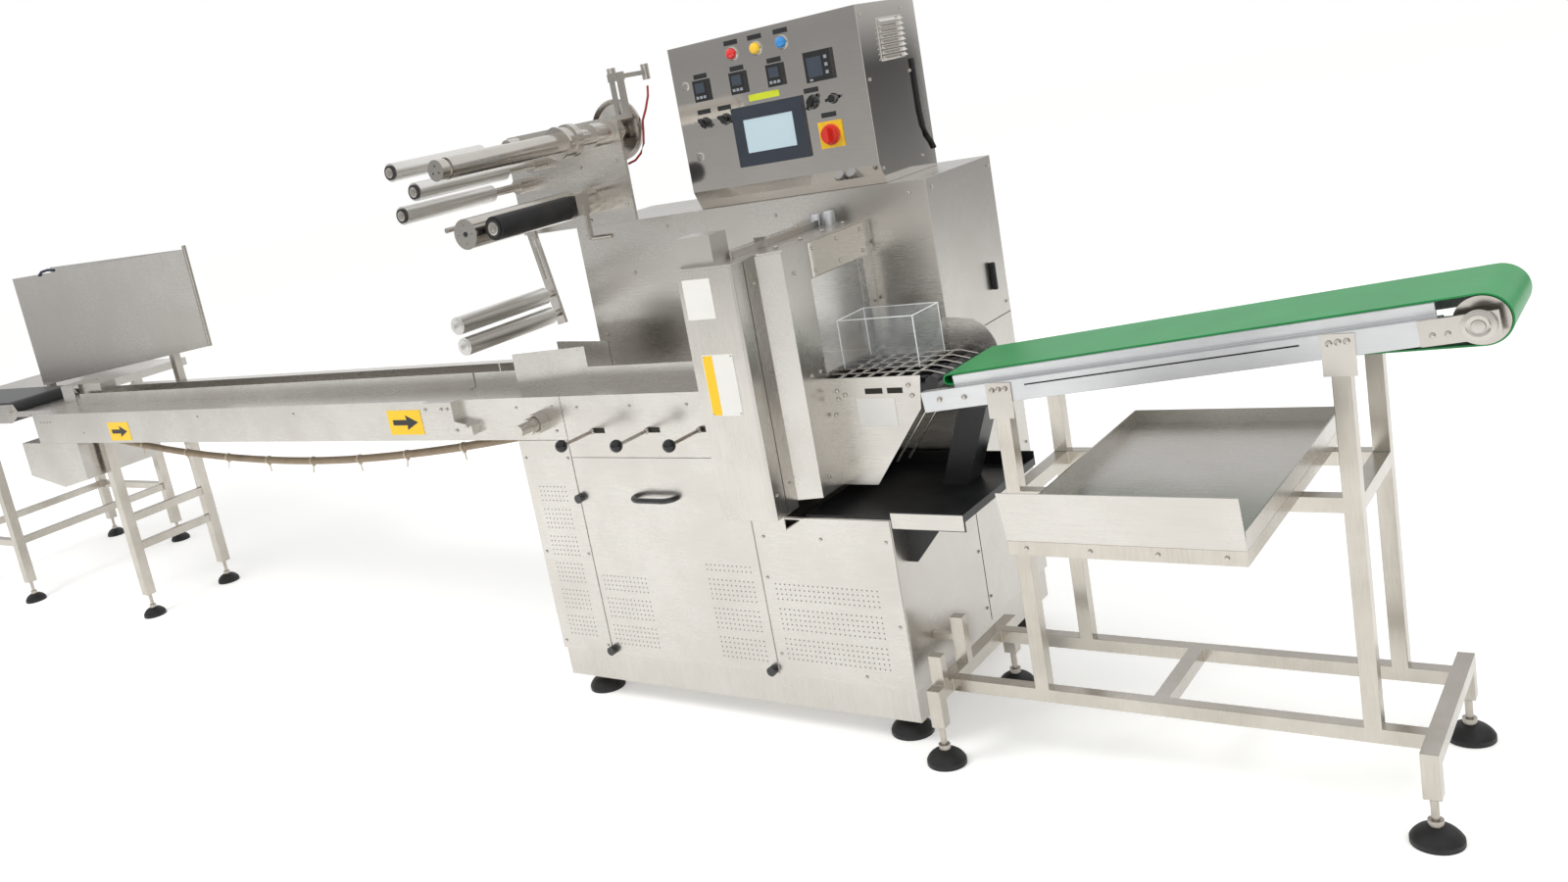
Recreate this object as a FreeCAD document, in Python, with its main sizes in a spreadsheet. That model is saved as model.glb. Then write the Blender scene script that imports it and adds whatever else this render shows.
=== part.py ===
import FreeCAD, Part
import math
import os
import re
import Sketcher
from FreeCAD import Placement, Rotation, Vector

# Horizontal flow wrapper, in millimetres, +Z up, standing on the floor at Z = 0.
# Places are given in the machine's own axes: X = 0 is the cabinet's left side and grows with the
# product's travel, Y = 0 is the cabinet's front face and grows away from the operator. The two shift
# cells carry all of it over, so that the document's origin is on the floor at the middle of the plant.

# ---------------------------------------------------------------- driving dimensions
SIZES = {
    # shift from machine axes to the document's axes
    "shift_x": 823.8, "shift_y": -265.75,
    # common stock
    "sheet_thk": 3, "tube_side": 30, "leg_side": 40, "clear_gap": 0.3, "seam_gap": 2,
    # cabinet
    "cabinet_width": 1086, "cabinet_depth": 780, "plinth_bottom": 61, "plinth_top": 141,
    "plinth_inset": 6, "foot_inset": 70, "door_left": 182, "door_right": 716, "door_top": 703, "band_bottom": 751,
    "deck_top": 869, "deck_thk": 8, "recess_top": 558, "housing_front": 415, "housing_bottom": 851,
    "housing_top": 1254,
    # cabinet's fittings
    "handle_left": 374, "handle_width": 132, "handle_height": 598, "handle_reach": 38, "handle_dia": 14,
    "knob_dia": 24, "knob_length": 16, "knob_left_x": 187, "knob_left_high": 591, "knob_left_low": 155,
    "knob_right_x": 701, "lever_height": 775, "lever_first": 279, "lever_second": 458,
    "lever_third": 619, "lever_dia": 9, "lever_ball": 32, "lever_reach": 131, "lever_pivot_dia": 15,
    "side_handle_y": 690, "side_handle_z": 960,
    # operator console
    "console_left": 427, "console_width": 549, "console_depth": 299, "console_top": 1675,
    "console_fold": 1302, "console_foot_inset": 25, "vent_y": 505, "vent_width": 128, "vent_bottom": 1536,
    "vent_height": 100, "vent_slats": 8, "vent_reach": 8, "screen_left": 592, "screen_width": 206,
    "screen_bottom": 1347, "screen_height": 149, "screen_thk": 8, "glass_margin_x": 30,
    "glass_margin_z": 32, "meter_side": 72, "meter_x": 860, "meter_z": 1556, "meter_thk": 10,
    "timer_width": 42, "timer_height": 54, "timer_first": 514, "timer_second": 627, "timer_third": 737,
    "button_z": 1629, "button_first": 622, "button_second": 693, "button_third": 768, "button_dia": 28,
    "button_reach": 16, "selector_z": 1474, "selector_dia": 24, "selector_reach": 20,
    "selector_first": 507, "selector_second": 570, "selector_third": 826, "selector_fourth": 883,
    "switch_x": 863, "switch_z": 1391, "switch_side": 64, "switch_plate_thk": 4, "switch_dia": 34,
    "switch_reach": 26,
    # film unit
    "plate_left": -205, "plate_right": 220, "plate_top": 1540, "plate_thk": 10, "plate_corner": 18,
    "reel_x": 175, "reel_z": 1500, "reel_dia": 54, "reel_front": -245, "reel_journal": 30,
    "reel_bore": 31, "chuck_y": 200, "chuck_dia": 104, "disc_dia": 170, "disc_front": 462,
    "guide_dia": 48, "guide_front": -97, "guide_back": 250, "spindle_dia": 24,
    "guide_high_x": -150, "guide_high_z": 1515, "guide_mid_x": -77, "guide_mid_z": 1455,
    "guide_low_x": -143, "guide_low_z": 1400, "feed_x": 45, "feed_z": 1325, "feed_dia": 80,
    "feed_front": -67, "pinch_x": 123, "pinch_z": 1327, "pinch_dia": 62, "pinch_front": -42,
    "pinch_back": 250, "sensor_x": -70, "sensor_z": 1338, "sensor_front": -20,
    "dancer_x": -150, "dancer_z": 1290, "dancer_length": 306, "dancer_width": 32, "dancer_thk": 10,
    "dancer_angle": 9.8, "dancer_high": 213, "dancer_low": 272, "dancer_dia": 50,
    "dancer_front": -35, "dancer_back": 378, "brake_post_x": 246, "brake_post_top": 1640,
    # infeed conveyor
    "infeed_left": -2650, "infeed_width": 480, "guide_height": 45, "guide_foot": 22,
    "guide_near": 130, "guide_far": 235, "guide_split": -250, "guide_start": -2480,
    "wing_length": 232, "wing_near_height": 97, "wing_far_height": 84, "wing_angle": 11,
    "hub_x": 104, "hub_z": 803, "hub_dia": 56, "hub_reach": 95,
    "sensor_box_left": -333, "sensor_box_width": 194, "sensor_box_bottom": 774,
    "infeed_leg_x": -2345, "infeed_leg_near": 75, "infeed_leg_far": 435, "leg_bottom": 90,
    "infeed_rail_high": 390, "infeed_rail_low": 272,
    # sealing head
    "head_left": 710, "head_right": 858, "head_front": -100, "head_bottom": 583, "head_top": 1176,
    "head_side": 915, "head_back_bottom": 600, "tunnel_near": 125, "tunnel_far": 345,
    "tunnel_top": 1092, "lid_thk": 4, "lid_over": 4,
    # discharge
    "discharge_near": 118, "discharge_far": 347, "discharge_top": 857, "rod_dia": 8, "rod_pitch": 37,
    "rod_count": 6, "rod_first": 938, "cover_left": 919, "cover_width": 193, "cover_near": 200,
    "cover_depth": 130, "cover_height": 120, "catch_left": 866, "catch_right": 1262,
    # outfeed conveyor: places along the slope and across it, from the rail's upper left corner
    "slope": 6.1, "rail_x": 1201, "rail_z": 845, "rail_length": 960, "rail_height": 45,
    "rail_near": 15, "rail_far": 310, "rail_thk": 20, "belt_thk": 3, "belt_over": 25, "belt_margin": 10.5, "nose_along": 55,
    "nose_radius": 12, "drum_along": 1010, "drum_radius": 45, "drum_gap": 0.6,
    # outfeed stand
    "stand_left": 1140, "stand_right": 2084, "stand_near": -56, "stand_far": 375, "stand_low": 150,
    "upright_left": 1361, "upright_right": 1985, "upright_left_top": 816, "upright_right_top": 882.5,
    "mid_rail": 599, "cross_x": 1600, "tray_left": 1510, "tray_right": 1917, "tray_near": -330,
    "tray_far": 385, "tray_lip_top": 754, "tray_flange_top": 690,
    # levelling feet
    "bell_dia": 88, "bell_height": 34, "bell_rim": 10, "stem_dia": 14, "nut_dia": 26, "nut_height": 12,
    # feeder and hopper
    "table_thk": 34, "belt_near": 63, "belt_far": 333, "belt_end_x": -2960, "belt_end_z": 866,
    "belt_end_radius": 42, "feeder_left": -3900, "feeder_table_right": -2830, "feeder_top": 890, "feeder_near": 50,
    "feeder_far": 850, "hopper_y": 400, "hopper_left": -3286, "hopper_right": -1934,
    "hopper_top": 1387, "hopper_low_left": 898, "hopper_low_right": 1011, "hopper_swing": 14,
    "hopper_post_x": -2226,
}

doc = FreeCAD.newDocument("FlowWrapper")
sheet = doc.addObject("Spreadsheet::Sheet", "Sizes")
for row, (alias, size) in enumerate(SIZES.items(), start=1):
    sheet.set(f"A{row}", alias)
    sheet.set(f"B{row}", str(size))
    sheet.setAlias(f"B{row}", alias)
doc.recompute()

NODES = {}
FEET = []


# ---------------------------------------------------------------- helpers
def number(expression):
    """Value of a sum of products of size names and plain numbers, such as "deck_top - 2 * sheet_thk"."""
    total, sign = 0.0, 1.0
    for term in re.split(r"\s+([+-])\s+", str(expression).strip()):
        if term in "+-":
            sign = 1.0 if term == "+" else -1.0
            continue
        product, divide = 1.0, False
        for factor in re.split(r"\s*([*/])\s*", term):
            if factor in "*/":
                divide = factor == "/"
                continue
            minus = factor.startswith("-")
            word = factor.lstrip("-")
            amount = float(SIZES[word]) if word in SIZES else float(word)
            amount = -amount if minus else amount
            product = product / amount if divide else product * amount
        total += sign * product
    return total


def bound(expression):
    """The same sum with every size name turned into a reference to its cell."""
    return re.sub(r"[a-z_]{2,}", lambda word: "Sizes." + word.group(0), str(expression))


def scaled(expression, factor):
    """A sum times a plain number, term by term."""
    return re.sub(r"(\s[+-]\s|$)", lambda gap: f" * {factor}" + gap.group(0), str(expression))


def half(expression):
    return scaled(expression, 0.5)


def bind(piece, prop, expression):
    piece.setExpression(prop, bound(expression))


def put(piece, corner, turn=None):
    """Places a piece at a point of the machine's axes, bound to the sheet."""
    if turn is not None:
        piece.Placement = Placement(Vector(), turn)
    shifts = (" + shift_x", " + shift_y", "")
    for axis, place, shift in zip("xyz", corner, shifts):
        bind(piece, ".Placement.Base." + axis, f"{place}{shift}")
    return piece


def node(name, piece):
    """Declares a finished sub-part; its label is the name of its file."""
    piece.Label = name
    NODES[name] = piece
    return piece


def box(name, corner, size):
    piece = doc.addObject("Part::Box", name)
    for prop, length in zip(("Length", "Width", "Height"), size):
        bind(piece, prop, length)
    return put(piece, corner)


ALONG = {
    "x": Rotation(Vector(0, 1, 0), 90),
    "y": Rotation(Vector(1, 0, 0), -90),
    "z": Rotation(),
}


def rod(name, axis, start, diameter, length):
    piece = doc.addObject("Part::Cylinder", name)
    bind(piece, "Radius", half(diameter))
    bind(piece, "Height", length)
    return put(piece, start, ALONG[axis])


def joined(name, pieces):
    """One solid out of pieces that touch or overlap."""
    piece = doc.addObject("Part::MultiFuse", name)
    piece.Shapes = pieces
    piece.Refine = True
    return piece


def together(name, pieces):
    """Like pieces that don't touch, in one sub-part."""
    piece = doc.addObject("Part::Compound", name)
    piece.Links = pieces
    return piece


def without(name, base, tools):
    tool = tools[0] if len(tools) == 1 else together(name + "_tools", tools)
    piece = doc.addObject("Part::Cut", name)
    piece.Base = base
    piece.Tool = tool
    return piece


def arc_between(start, end, radius, left):
    """Arc from start to end whose centre lies left or right of the way from one to the other."""
    chord = end - start
    rise = math.sqrt(max(radius ** 2 - (chord.Length / 2) ** 2, 0.0))
    across = Vector(-chord.y, chord.x, 0).normalize()
    centre = (start + end) * 0.5 + across * (rise if left else -rise)
    first = math.atan2(start.y - centre.y, start.x - centre.x)
    last = math.atan2(end.y - centre.y, end.x - centre.x)
    circle = Part.Circle(centre, Vector(0, 0, 1), radius)
    if left:
        return Part.ArcOfCircle(circle, first, last), 1, 2
    return Part.ArcOfCircle(circle, last, first), 2, 1


def outline(body, name, plane, corners, arcs=None):
    """Closed sketch through corners given as size sums; arcs maps a side to its radius and centre side."""
    arcs = arcs or {}
    sketch = body.newObject("Sketcher::SketchObject", name)
    base = [feature for feature in body.Origin.OriginFeatures if feature.Role == plane][0]
    sketch.AttachmentSupport = (base, [""])
    sketch.MapMode = "FlatFace"
    places = [Vector(number(u), number(v), 0) for u, v in corners]
    ends = []
    for side, start in enumerate(places):
        end = places[(side + 1) % len(places)]
        if side in arcs:
            radius, left = arcs[side]
            curve, first, last = arc_between(start, end, number(radius), left)
        else:
            curve, first, last = Part.LineSegment(start, end), 1, 2
        sketch.addGeometry(curve)
        ends.append((first, last))
    for side in range(len(places)):
        after = (side + 1) % len(places)
        link = Sketcher.Constraint("Coincident", side, ends[side][1], after, ends[after][0])
        sketch.addConstraint(link)
    for side, (u, v) in enumerate(corners):
        for kind, length, amount, axis in (
            ("DistanceX", u, places[side].x, -2),
            ("DistanceY", v, places[side].y, -1),
        ):
            if abs(amount) < 1e-6:
                sketch.addConstraint(Sketcher.Constraint("PointOnObject", side, ends[side][0], axis))
                continue
            mark = Sketcher.Constraint(kind, -1, 1, side, ends[side][0], amount)
            index = sketch.addConstraint(mark)
            bind(sketch, f"Constraints[{index}]", length)
    for side, (radius, left) in arcs.items():
        index = sketch.addConstraint(Sketcher.Constraint("Radius", side, number(radius)))
        bind(sketch, f"Constraints[{index}]", radius)
    return sketch


def padded(name, plane, corners, depth, corner, arcs=None, turn=None):
    """Plate or bar of one outline. It grows along +Z from XY, along +Y from XZ and along +X from YZ."""
    body = doc.addObject("PartDesign::Body", name)
    sketch = outline(body, name + "_outline", plane, corners, arcs)
    pad = body.newObject("PartDesign::Pad", name + "_pad")
    pad.Profile = sketch
    bind(pad, "Length", depth)
    pad.Reversed = plane == "XZ_Plane"
    body.Tip = pad
    sketch.Visibility = False
    return put(body, corner, turn)


def turned(name, corners, corner, turn=None, arcs=None):
    """Turned piece: the outline's first coordinate is the radius and its second runs along the axis."""
    body = doc.addObject("PartDesign::Body", name)
    sketch = outline(body, name + "_profile", "XZ_Plane", corners, arcs)
    solid = body.newObject("PartDesign::Revolution", name + "_turned")
    solid.Profile = sketch
    solid.ReferenceAxis = (sketch, ["V_Axis"])
    solid.Angle = 360
    body.Tip = solid
    sketch.Visibility = False
    return put(body, corner, turn)


def stepped_profile(steps):
    """Corners of a solid shaft from (diameter, from, to) steps along its axis."""
    corners = [("0", steps[0][1])]
    for diameter, start, end in steps:
        corners.append((half(diameter), start))
        corners.append((half(diameter), end))
    corners.append(("0", steps[-1][2]))
    return corners


# ---------------------------------------------------------------- cabinet
def cabinet():
    node("base_plinth", box(
        "base_plinth",
        ("plinth_inset", "plinth_inset", "plinth_bottom"),
        ("cabinet_width - 2 * plinth_inset", "cabinet_depth - 2 * plinth_inset",
         "plinth_top - plinth_bottom"),
    ))
    low = box("cabinet_low", ("0", "sheet_thk", "plinth_top"),
              ("cabinet_width", "cabinet_depth - sheet_thk", "recess_top - plinth_top"))
    left = box("cabinet_left", ("0", "sheet_thk", "recess_top"),
               ("door_right - sheet_thk", "housing_front - sheet_thk",
                "deck_top - deck_thk - recess_top"))
    rear = box("cabinet_rear", ("0", "housing_front", "recess_top"),
               ("cabinet_width", "cabinet_depth - housing_front", "housing_bottom - recess_top"))
    node("cabinet_body", joined("cabinet_body", [low, left, rear]))
    node("deck_plate", box("deck_plate", ("0", "sheet_thk", "deck_top - deck_thk"),
                           ("door_right - sheet_thk", "housing_front - sheet_thk", "deck_thk")))
    node("rear_housing", box("rear_housing", ("0", "housing_front", "housing_bottom"),
                             ("cabinet_width", "cabinet_depth - housing_front",
                              "housing_top - housing_bottom")))
    # outer sheets of the front: a gap of two millimetres runs round every one
    door = box(
        "front_door", ("door_left + seam_gap", "0", "plinth_top + seam_gap"),
        ("door_right - door_left - 2 * seam_gap", "sheet_thk", "door_top - plinth_top - 2 * seam_gap"))
    left_sheet = box("left_sheet", ("seam_gap", "0", "plinth_top + seam_gap"),
                     ("door_left - 2 * seam_gap", "sheet_thk", "band_bottom - plinth_top - 2 * seam_gap"))
    right_sheet = box("right_sheet", ("door_right + seam_gap", "0", "plinth_top + seam_gap"),
                      ("cabinet_width - door_right - 2 * seam_gap", "sheet_thk",
                       "recess_top - plinth_top - 2 * seam_gap"))
    band = box(
        "control_band", ("door_left + seam_gap", "0", "door_top + seam_gap"),
        ("door_right - door_left - 2 * seam_gap", "sheet_thk", "deck_top - door_top - seam_gap"))
    infeed_sheet = box("infeed_sheet", ("infeed_left", "0", "band_bottom"),
                       ("door_left - infeed_left", "sheet_thk", "deck_top - band_bottom"))
    node("front_sheets", together("front_sheets", [door, left_sheet, right_sheet, band, infeed_sheet]))


def bow_handle(name, corner, width, reach, diameter):
    """Round bar bent twice, standing off a front face: two feet, two bends and a straight grip."""
    span, out, bar = number(width), number(reach), number(diameter)
    bend = out - bar / 2
    feet = Vector(0, 0, 0)
    near = Vector(bend, -bend, 0)
    far = Vector(span - bend, -bend, 0)
    end = Vector(span, 0, 0)
    lean = bend * (1 - math.sqrt(0.5))
    first = Part.Arc(feet, Vector(lean, -bend * math.sqrt(0.5), 0), near)
    second = Part.Arc(far, Vector(span - lean, -bend * math.sqrt(0.5), 0), end)
    spine = Part.Wire([first.toShape(), Part.makeLine(near, far), second.toShape()])
    ring = Part.Wire([Part.makeCircle(bar / 2, feet, Vector(0, 1, 0))])
    piece = doc.addObject("Part::Feature", name)
    piece.Shape = spine.makePipeShell([ring], True, False)
    return put(piece, corner)


def cabinet_fittings():
    front = bow_handle("door_bow", ("handle_left", "0", "handle_height"),
                       "handle_width", "handle_reach", "handle_dia")
    hardware = [
        front,
        rod("door_knob_high", "y", ("knob_left_x", "-knob_length", "knob_left_high"),
            "knob_dia", "knob_length"),
        rod("door_knob_low", "y", ("knob_left_x", "-knob_length", "knob_left_low"),
            "knob_dia", "knob_length"),
        rod("door_knob_right", "y", ("knob_right_x", "-knob_length", "knob_left_low"),
            "knob_dia", "knob_length"),
    ]
    node("door_hardware", together("door_hardware", hardware))
    for index, place in enumerate(("lever_first", "lever_second", "lever_third"), start=1):
        name = f"hand_lever_{index}"
        pivot_y = "-lever_pivot_dia / 2 - clear_gap"
        pivot = doc.addObject("Part::Sphere", name + "_pivot")
        bind(pivot, "Radius", "lever_pivot_dia / 2")
        put(pivot, (place, pivot_y, "lever_height"))
        bar = rod(name + "_bar", "y", (place, "-lever_reach", "lever_height"),
                  "lever_dia", "lever_reach - lever_pivot_dia / 2")
        ball = doc.addObject("Part::Sphere", name + "_ball")
        bind(ball, "Radius", "lever_ball / 2")
        put(ball, (place, "-lever_reach", "lever_height"))
        node(name, joined(name, [pivot, bar, ball]))


def bell_foot(name, place_x, place_y, top):
    """Levelling foot: rubber bell on the floor, locking nut, threaded stem up to the leg."""
    corners = [
        ("0", "0"), ("bell_dia / 2", "0"), ("bell_dia / 2", "bell_rim"), ("stem_dia", "bell_height"),
        ("nut_dia / 2", "bell_height"), ("nut_dia / 2", "bell_height + nut_height"),
        ("stem_dia / 2", "bell_height + nut_height"), ("stem_dia / 2", top), ("0", top),
    ]
    return turned(name, corners, (place_x, place_y, "0"), arcs={2: ("bell_dia / 2", True)})


def short_foot(name, place_x, place_y):
    """Low machine foot under the plinth, with a wide rubber disc."""
    corners = [
        ("0", "0"), ("bell_dia / 2 + 6", "0"), ("bell_dia / 2 + 6", "bell_rim"),
        ("nut_dia", "bell_height"), ("nut_dia / 2", "bell_height"), ("nut_dia / 2", "plinth_bottom"),
        ("0", "plinth_bottom"),
    ]
    return turned(name, corners, (place_x, place_y, "0"), arcs={2: ("bell_dia / 2", True)})


def cabinet_feet():
    for side, x in (("left", "foot_inset"), ("right", "cabinet_width - foot_inset")):
        for depth, y in (("near", "foot_inset"), ("far", "cabinet_depth - foot_inset")):
            FEET.append(short_foot(f"cabinet_foot_{side}_{depth}", x, y))


# ---------------------------------------------------------------- operator console
def console():
    # closed housing; below the fold the front leans back to its foot on the rear housing
    profile = [
        ("console_foot_inset", "0"), ("console_depth", "0"),
        ("console_depth", "console_top - housing_top"), ("0", "console_top - housing_top"),
        ("0", "console_fold - housing_top"),
    ]
    shell = padded("console_shell", "YZ_Plane", profile, "console_width",
                   ("console_left", "housing_front", "housing_top"))
    side = "console_left + console_width"
    plate = box("vent_plate", (side, "vent_y", "vent_bottom"),
                ("sheet_thk", "vent_width", "vent_height"))
    pieces = [shell, plate]
    for index in range(int(SIZES["vent_slats"])):
        slat = padded(
            f"vent_slat_{index}", "XZ_Plane",
            [("0", "0"), ("vent_reach", "0"), ("0", "vent_height / 14")],
            "vent_width - 4 * sheet_thk",
            (f"{side} + sheet_thk", "vent_y + 2 * sheet_thk",
             f"vent_bottom + vent_height * {index} / vent_slats + 2"))
        pieces.append(slat)
    node("console_box", joined("console_box", pieces))
    screen = box("screen_block", ("screen_left", "housing_front - screen_thk", "screen_bottom"),
                 ("screen_width", "screen_thk", "screen_height"))
    window = box("screen_window",
                 ("screen_left + glass_margin_x", "housing_front - screen_thk", "screen_bottom + glass_margin_z"),
                 ("screen_width - 2 * glass_margin_x", "sheet_thk", "screen_height - 2 * glass_margin_z"))
    node("screen_bezel", without("screen_bezel", screen, [window]))
    meters = [box("large_meter", ("meter_x - meter_side / 2", "housing_front - meter_thk",
                                  "meter_z - meter_side / 2"), ("meter_side", "meter_thk", "meter_side"))]
    for place in ("timer_first", "timer_second", "timer_third"):
        meters.append(box(place + "_case", (f"{place} - timer_width / 2", "housing_front - meter_thk",
                                            "meter_z - timer_height / 2"),
                          ("timer_width", "meter_thk", "timer_height")))
    meters.append(box(
        "switch_plate", ("switch_x - switch_side / 2", "housing_front - switch_plate_thk",
                         "switch_z - switch_side / 2"),
        ("switch_side", "switch_plate_thk", "switch_side")))
    node("console_meters", together("console_meters", meters))
    controls = []
    for name, place in (("red_lamp", "button_first"), ("yellow_lamp", "button_second"),
                        ("blue_lamp", "button_third")):
        ring = rod(name + "_ring", "y", (place, "housing_front - button_reach / 2", "button_z"),
                   "button_dia + 6", "button_reach / 2")
        lens = rod(name + "_lens", "y", (place, "housing_front - button_reach", "button_z"),
                   "button_dia", "button_reach")
        controls.append(joined(name, [ring, lens]))
    for place in ("selector_first", "selector_second", "selector_third", "selector_fourth"):
        collar = rod(place + "_collar", "y", (place, "housing_front - selector_reach / 3", "selector_z"),
                     "selector_dia + 8", "selector_reach / 3")
        grip = rod(place + "_grip", "y", (place, "housing_front - selector_reach", "selector_z"),
                   "selector_dia", "selector_reach")
        controls.append(joined(place + "_knob", [collar, grip]))
    node("console_controls", together("console_controls", controls))
    hub = rod("switch_hub", "y",
              ("switch_x", "housing_front - switch_plate_thk - clear_gap - switch_reach / 2", "switch_z"),
              "switch_dia + 8", "switch_reach / 2")
    grip = box("switch_grip",
               ("switch_x - switch_dia / 6",
                "housing_front - switch_plate_thk - clear_gap - switch_reach",
                "switch_z - switch_dia / 2"),
               ("switch_dia / 3", "switch_reach - 2", "switch_dia"))
    node("main_switch", joined("main_switch", [hub, grip]))


# ---------------------------------------------------------------- film unit
def film_unit():
    width, height, corner = "plate_right - plate_left", "plate_top - housing_top", "plate_corner"
    plate = padded(
        "film_plate_blank", "XZ_Plane",
        [("0", "0"), (width, "0"), (width, f"{height} - {corner}"), (f"{width} - {corner}", height),
         (corner, height), ("0", f"{height} - {corner}")],
        "plate_thk", ("plate_left", "housing_front", "housing_top"),
        arcs={2: (corner, True), 4: (corner, True)})
    bore = rod("reel_hole", "y", ("reel_x", "housing_front - 1", "reel_z"), "reel_bore", "plate_thk + 2")
    node("film_plate", without("film_plate", plate, [bore]))
    # the reel's bearing stands behind the plate
    housing = rod("bearing_outer", "y", ("reel_x", "housing_front + plate_thk", "reel_z"),
                  "reel_dia + 22", "22")
    inner = rod("bearing_inner", "y", ("reel_x", "housing_front + plate_thk - 1", "reel_z"),
                "reel_bore", "24")
    mounts = [without("reel_bearing", housing, [inner])]
    # reel shaft: cap, groove, tube, collar and journal in one turned piece
    back = "housing_front - clear_gap - reel_front"
    steps = [
        ("reel_dia - 2", "0", "26"), ("reel_dia - 12", "26", "34"), ("reel_dia", "34", "chuck_y - reel_front + 66"),
        ("reel_dia - 10", "chuck_y - reel_front + 66", "chuck_y - reel_front + 140"),
        ("reel_dia + 10", "chuck_y - reel_front + 140", back),
        ("reel_journal", back, "disc_front - 14 - reel_front"),
    ]
    node("reel_shaft", turned("reel_shaft", stepped_profile(steps), ("reel_x", "reel_front", "reel_z"),
                              turn=ALONG["y"]))
    # chuck: pointed clamping flange with its sleeve, round the tube
    flange = padded(
        "chuck_flange", "XZ_Plane",
        [("-chuck_dia / 2", "0"), ("0", "-chuck_dia * 0.42"), ("chuck_dia / 2", "0"), ("0", "chuck_dia * 0.42")],
        "9", ("reel_x", "chuck_y", "reel_z"),
        arcs={0: ("chuck_dia * 0.62", True), 1: ("chuck_dia * 0.62", True),
              2: ("chuck_dia * 0.62", True), 3: ("chuck_dia * 0.62", True)})
    sleeve = rod("chuck_sleeve", "y", ("reel_x", "chuck_y + 9", "reel_z"), "chuck_dia * 0.76", "34")
    ring = rod("chuck_ring", "y", ("reel_x", "chuck_y + 43", "reel_z"), "chuck_dia * 0.86", "22")
    bore_through = rod("chuck_bore", "y", ("reel_x", "chuck_y - 1", "reel_z"), "reel_dia", "68")
    node("reel_chuck", without("reel_chuck", joined("chuck_solid", [flange, sleeve, ring]), [bore_through]))
    disc = [
        ("0", "0"), ("reel_journal", "0"), ("reel_journal", "14"), ("disc_dia / 2 - 14", "20"),
        ("disc_dia / 2", "14"), ("disc_dia / 2", "22"), ("disc_dia / 2 - 14", "28"), ("0", "28"),
    ]
    node("brake_disc", turned("brake_disc", disc, ("reel_x", "disc_front - 14", "reel_z"), turn=ALONG["y"]))
    post_back = "housing_front + plate_thk"
    pieces = [
        box("brake_foot", ("brake_post_x - 40", post_back, "plate_top - 14"), ("52", "12", "14")),
        box("brake_post", ("brake_post_x - 8", post_back, "plate_top - 14"),
            ("16", "12", "brake_post_top - plate_top + 14")),
        box("brake_twin", ("brake_post_x - 34", post_back, "plate_top - 14"),
            ("10", "12", "brake_post_top - plate_top + 4")),
        box("brake_head", ("brake_post_x - 38", post_back, "brake_post_top - 12"), ("48", "14", "22")),
        box("brake_arm", ("brake_post_x - 6", f"{post_back} + 12", "brake_post_top - 8"), ("12", "118", "12")),
        rod("brake_knob", "z", ("brake_post_x - 26", f"{post_back} + 7", "brake_post_top + 10"), "24", "14"),
        rod("brake_end", "z", ("brake_post_x", f"{post_back} + 122", "brake_post_top - 22"), "22", "42"),
    ]
    node("brake_bracket", joined("brake_bracket", pieces))
    for name, x, z in (("high", "guide_high_x", "guide_high_z"), ("middle", "guide_mid_x", "guide_mid_z"),
                       ("low", "guide_low_x", "guide_low_z")):
        node(f"guide_roller_{name}", turned(
            f"guide_roller_{name}",
            stepped_profile([("guide_dia - 20", "0", "4"), ("guide_dia", "4", "guide_back - guide_front")]),
            (x, "guide_front", z), turn=ALONG["y"]))
    for name, x, z in (("high", "guide_high_x", "guide_high_z"), ("middle", "guide_mid_x", "guide_mid_z"),
                       ("low", "guide_low_x", "guide_low_z")):
        mounts.append(turned(
            f"spindle_{name}",
            stepped_profile([("spindle_dia", "0", "110"),
                             ("guide_dia - 6", "110", "housing_front - guide_back - clear_gap")]),
            (x, "guide_back + clear_gap", z), turn=ALONG["y"]))
    node("feed_roller", turned(
        "feed_roller",
        stepped_profile([("feed_dia", "0", "housing_front - feed_front - 60"),
                         ("feed_dia / 2", "housing_front - feed_front - 60",
                          "housing_front - feed_front - clear_gap")]),
        ("feed_x", "feed_front", "feed_z"), turn=ALONG["y"]))
    node("pinch_roller", turned(
        "pinch_roller",
        stepped_profile([("pinch_dia - 24", "0", "3"), ("pinch_dia", "3", "pinch_back - pinch_front")]),
        ("pinch_x", "pinch_front", "pinch_z"), turn=ALONG["y"]))
    start = "pinch_back + clear_gap"
    bracket = [
        box("pinch_block", ("pinch_x - 24", start, "pinch_z - 26"), ("62", "52", "56")),
        rod("pinch_collar", "y", ("pinch_x", f"{start} + 52", "pinch_z"), "pinch_dia - 4", "50"),
        rod("pinch_flange", "y", ("pinch_x", f"{start} + 102", "pinch_z"), "pinch_dia + 14",
            "housing_front - pinch_back - clear_gap - 102"),
        box("lever_arm", ("pinch_x + 38", f"{start} + 20", "pinch_z - 96"), ("8", "14", "100")),
        rod("lever_handle", "x", ("pinch_x + 42", f"{start} + 27", "pinch_z - 92"), "12", "74"),
    ]
    node("pinch_bracket", joined("pinch_bracket", bracket))
    rods = [
        rod("sensor_rod", "y", ("sensor_x", "sensor_front", "sensor_z"), "14", "housing_front - sensor_front"),
        box("sensor_clamp", ("sensor_x - 12", "sensor_front + 60", "sensor_z - 12"), ("24", "22", "24")),
    ]
    mounts.append(joined("film_sensor", rods))
    node("plate_mounts", together("plate_mounts", mounts))


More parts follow.
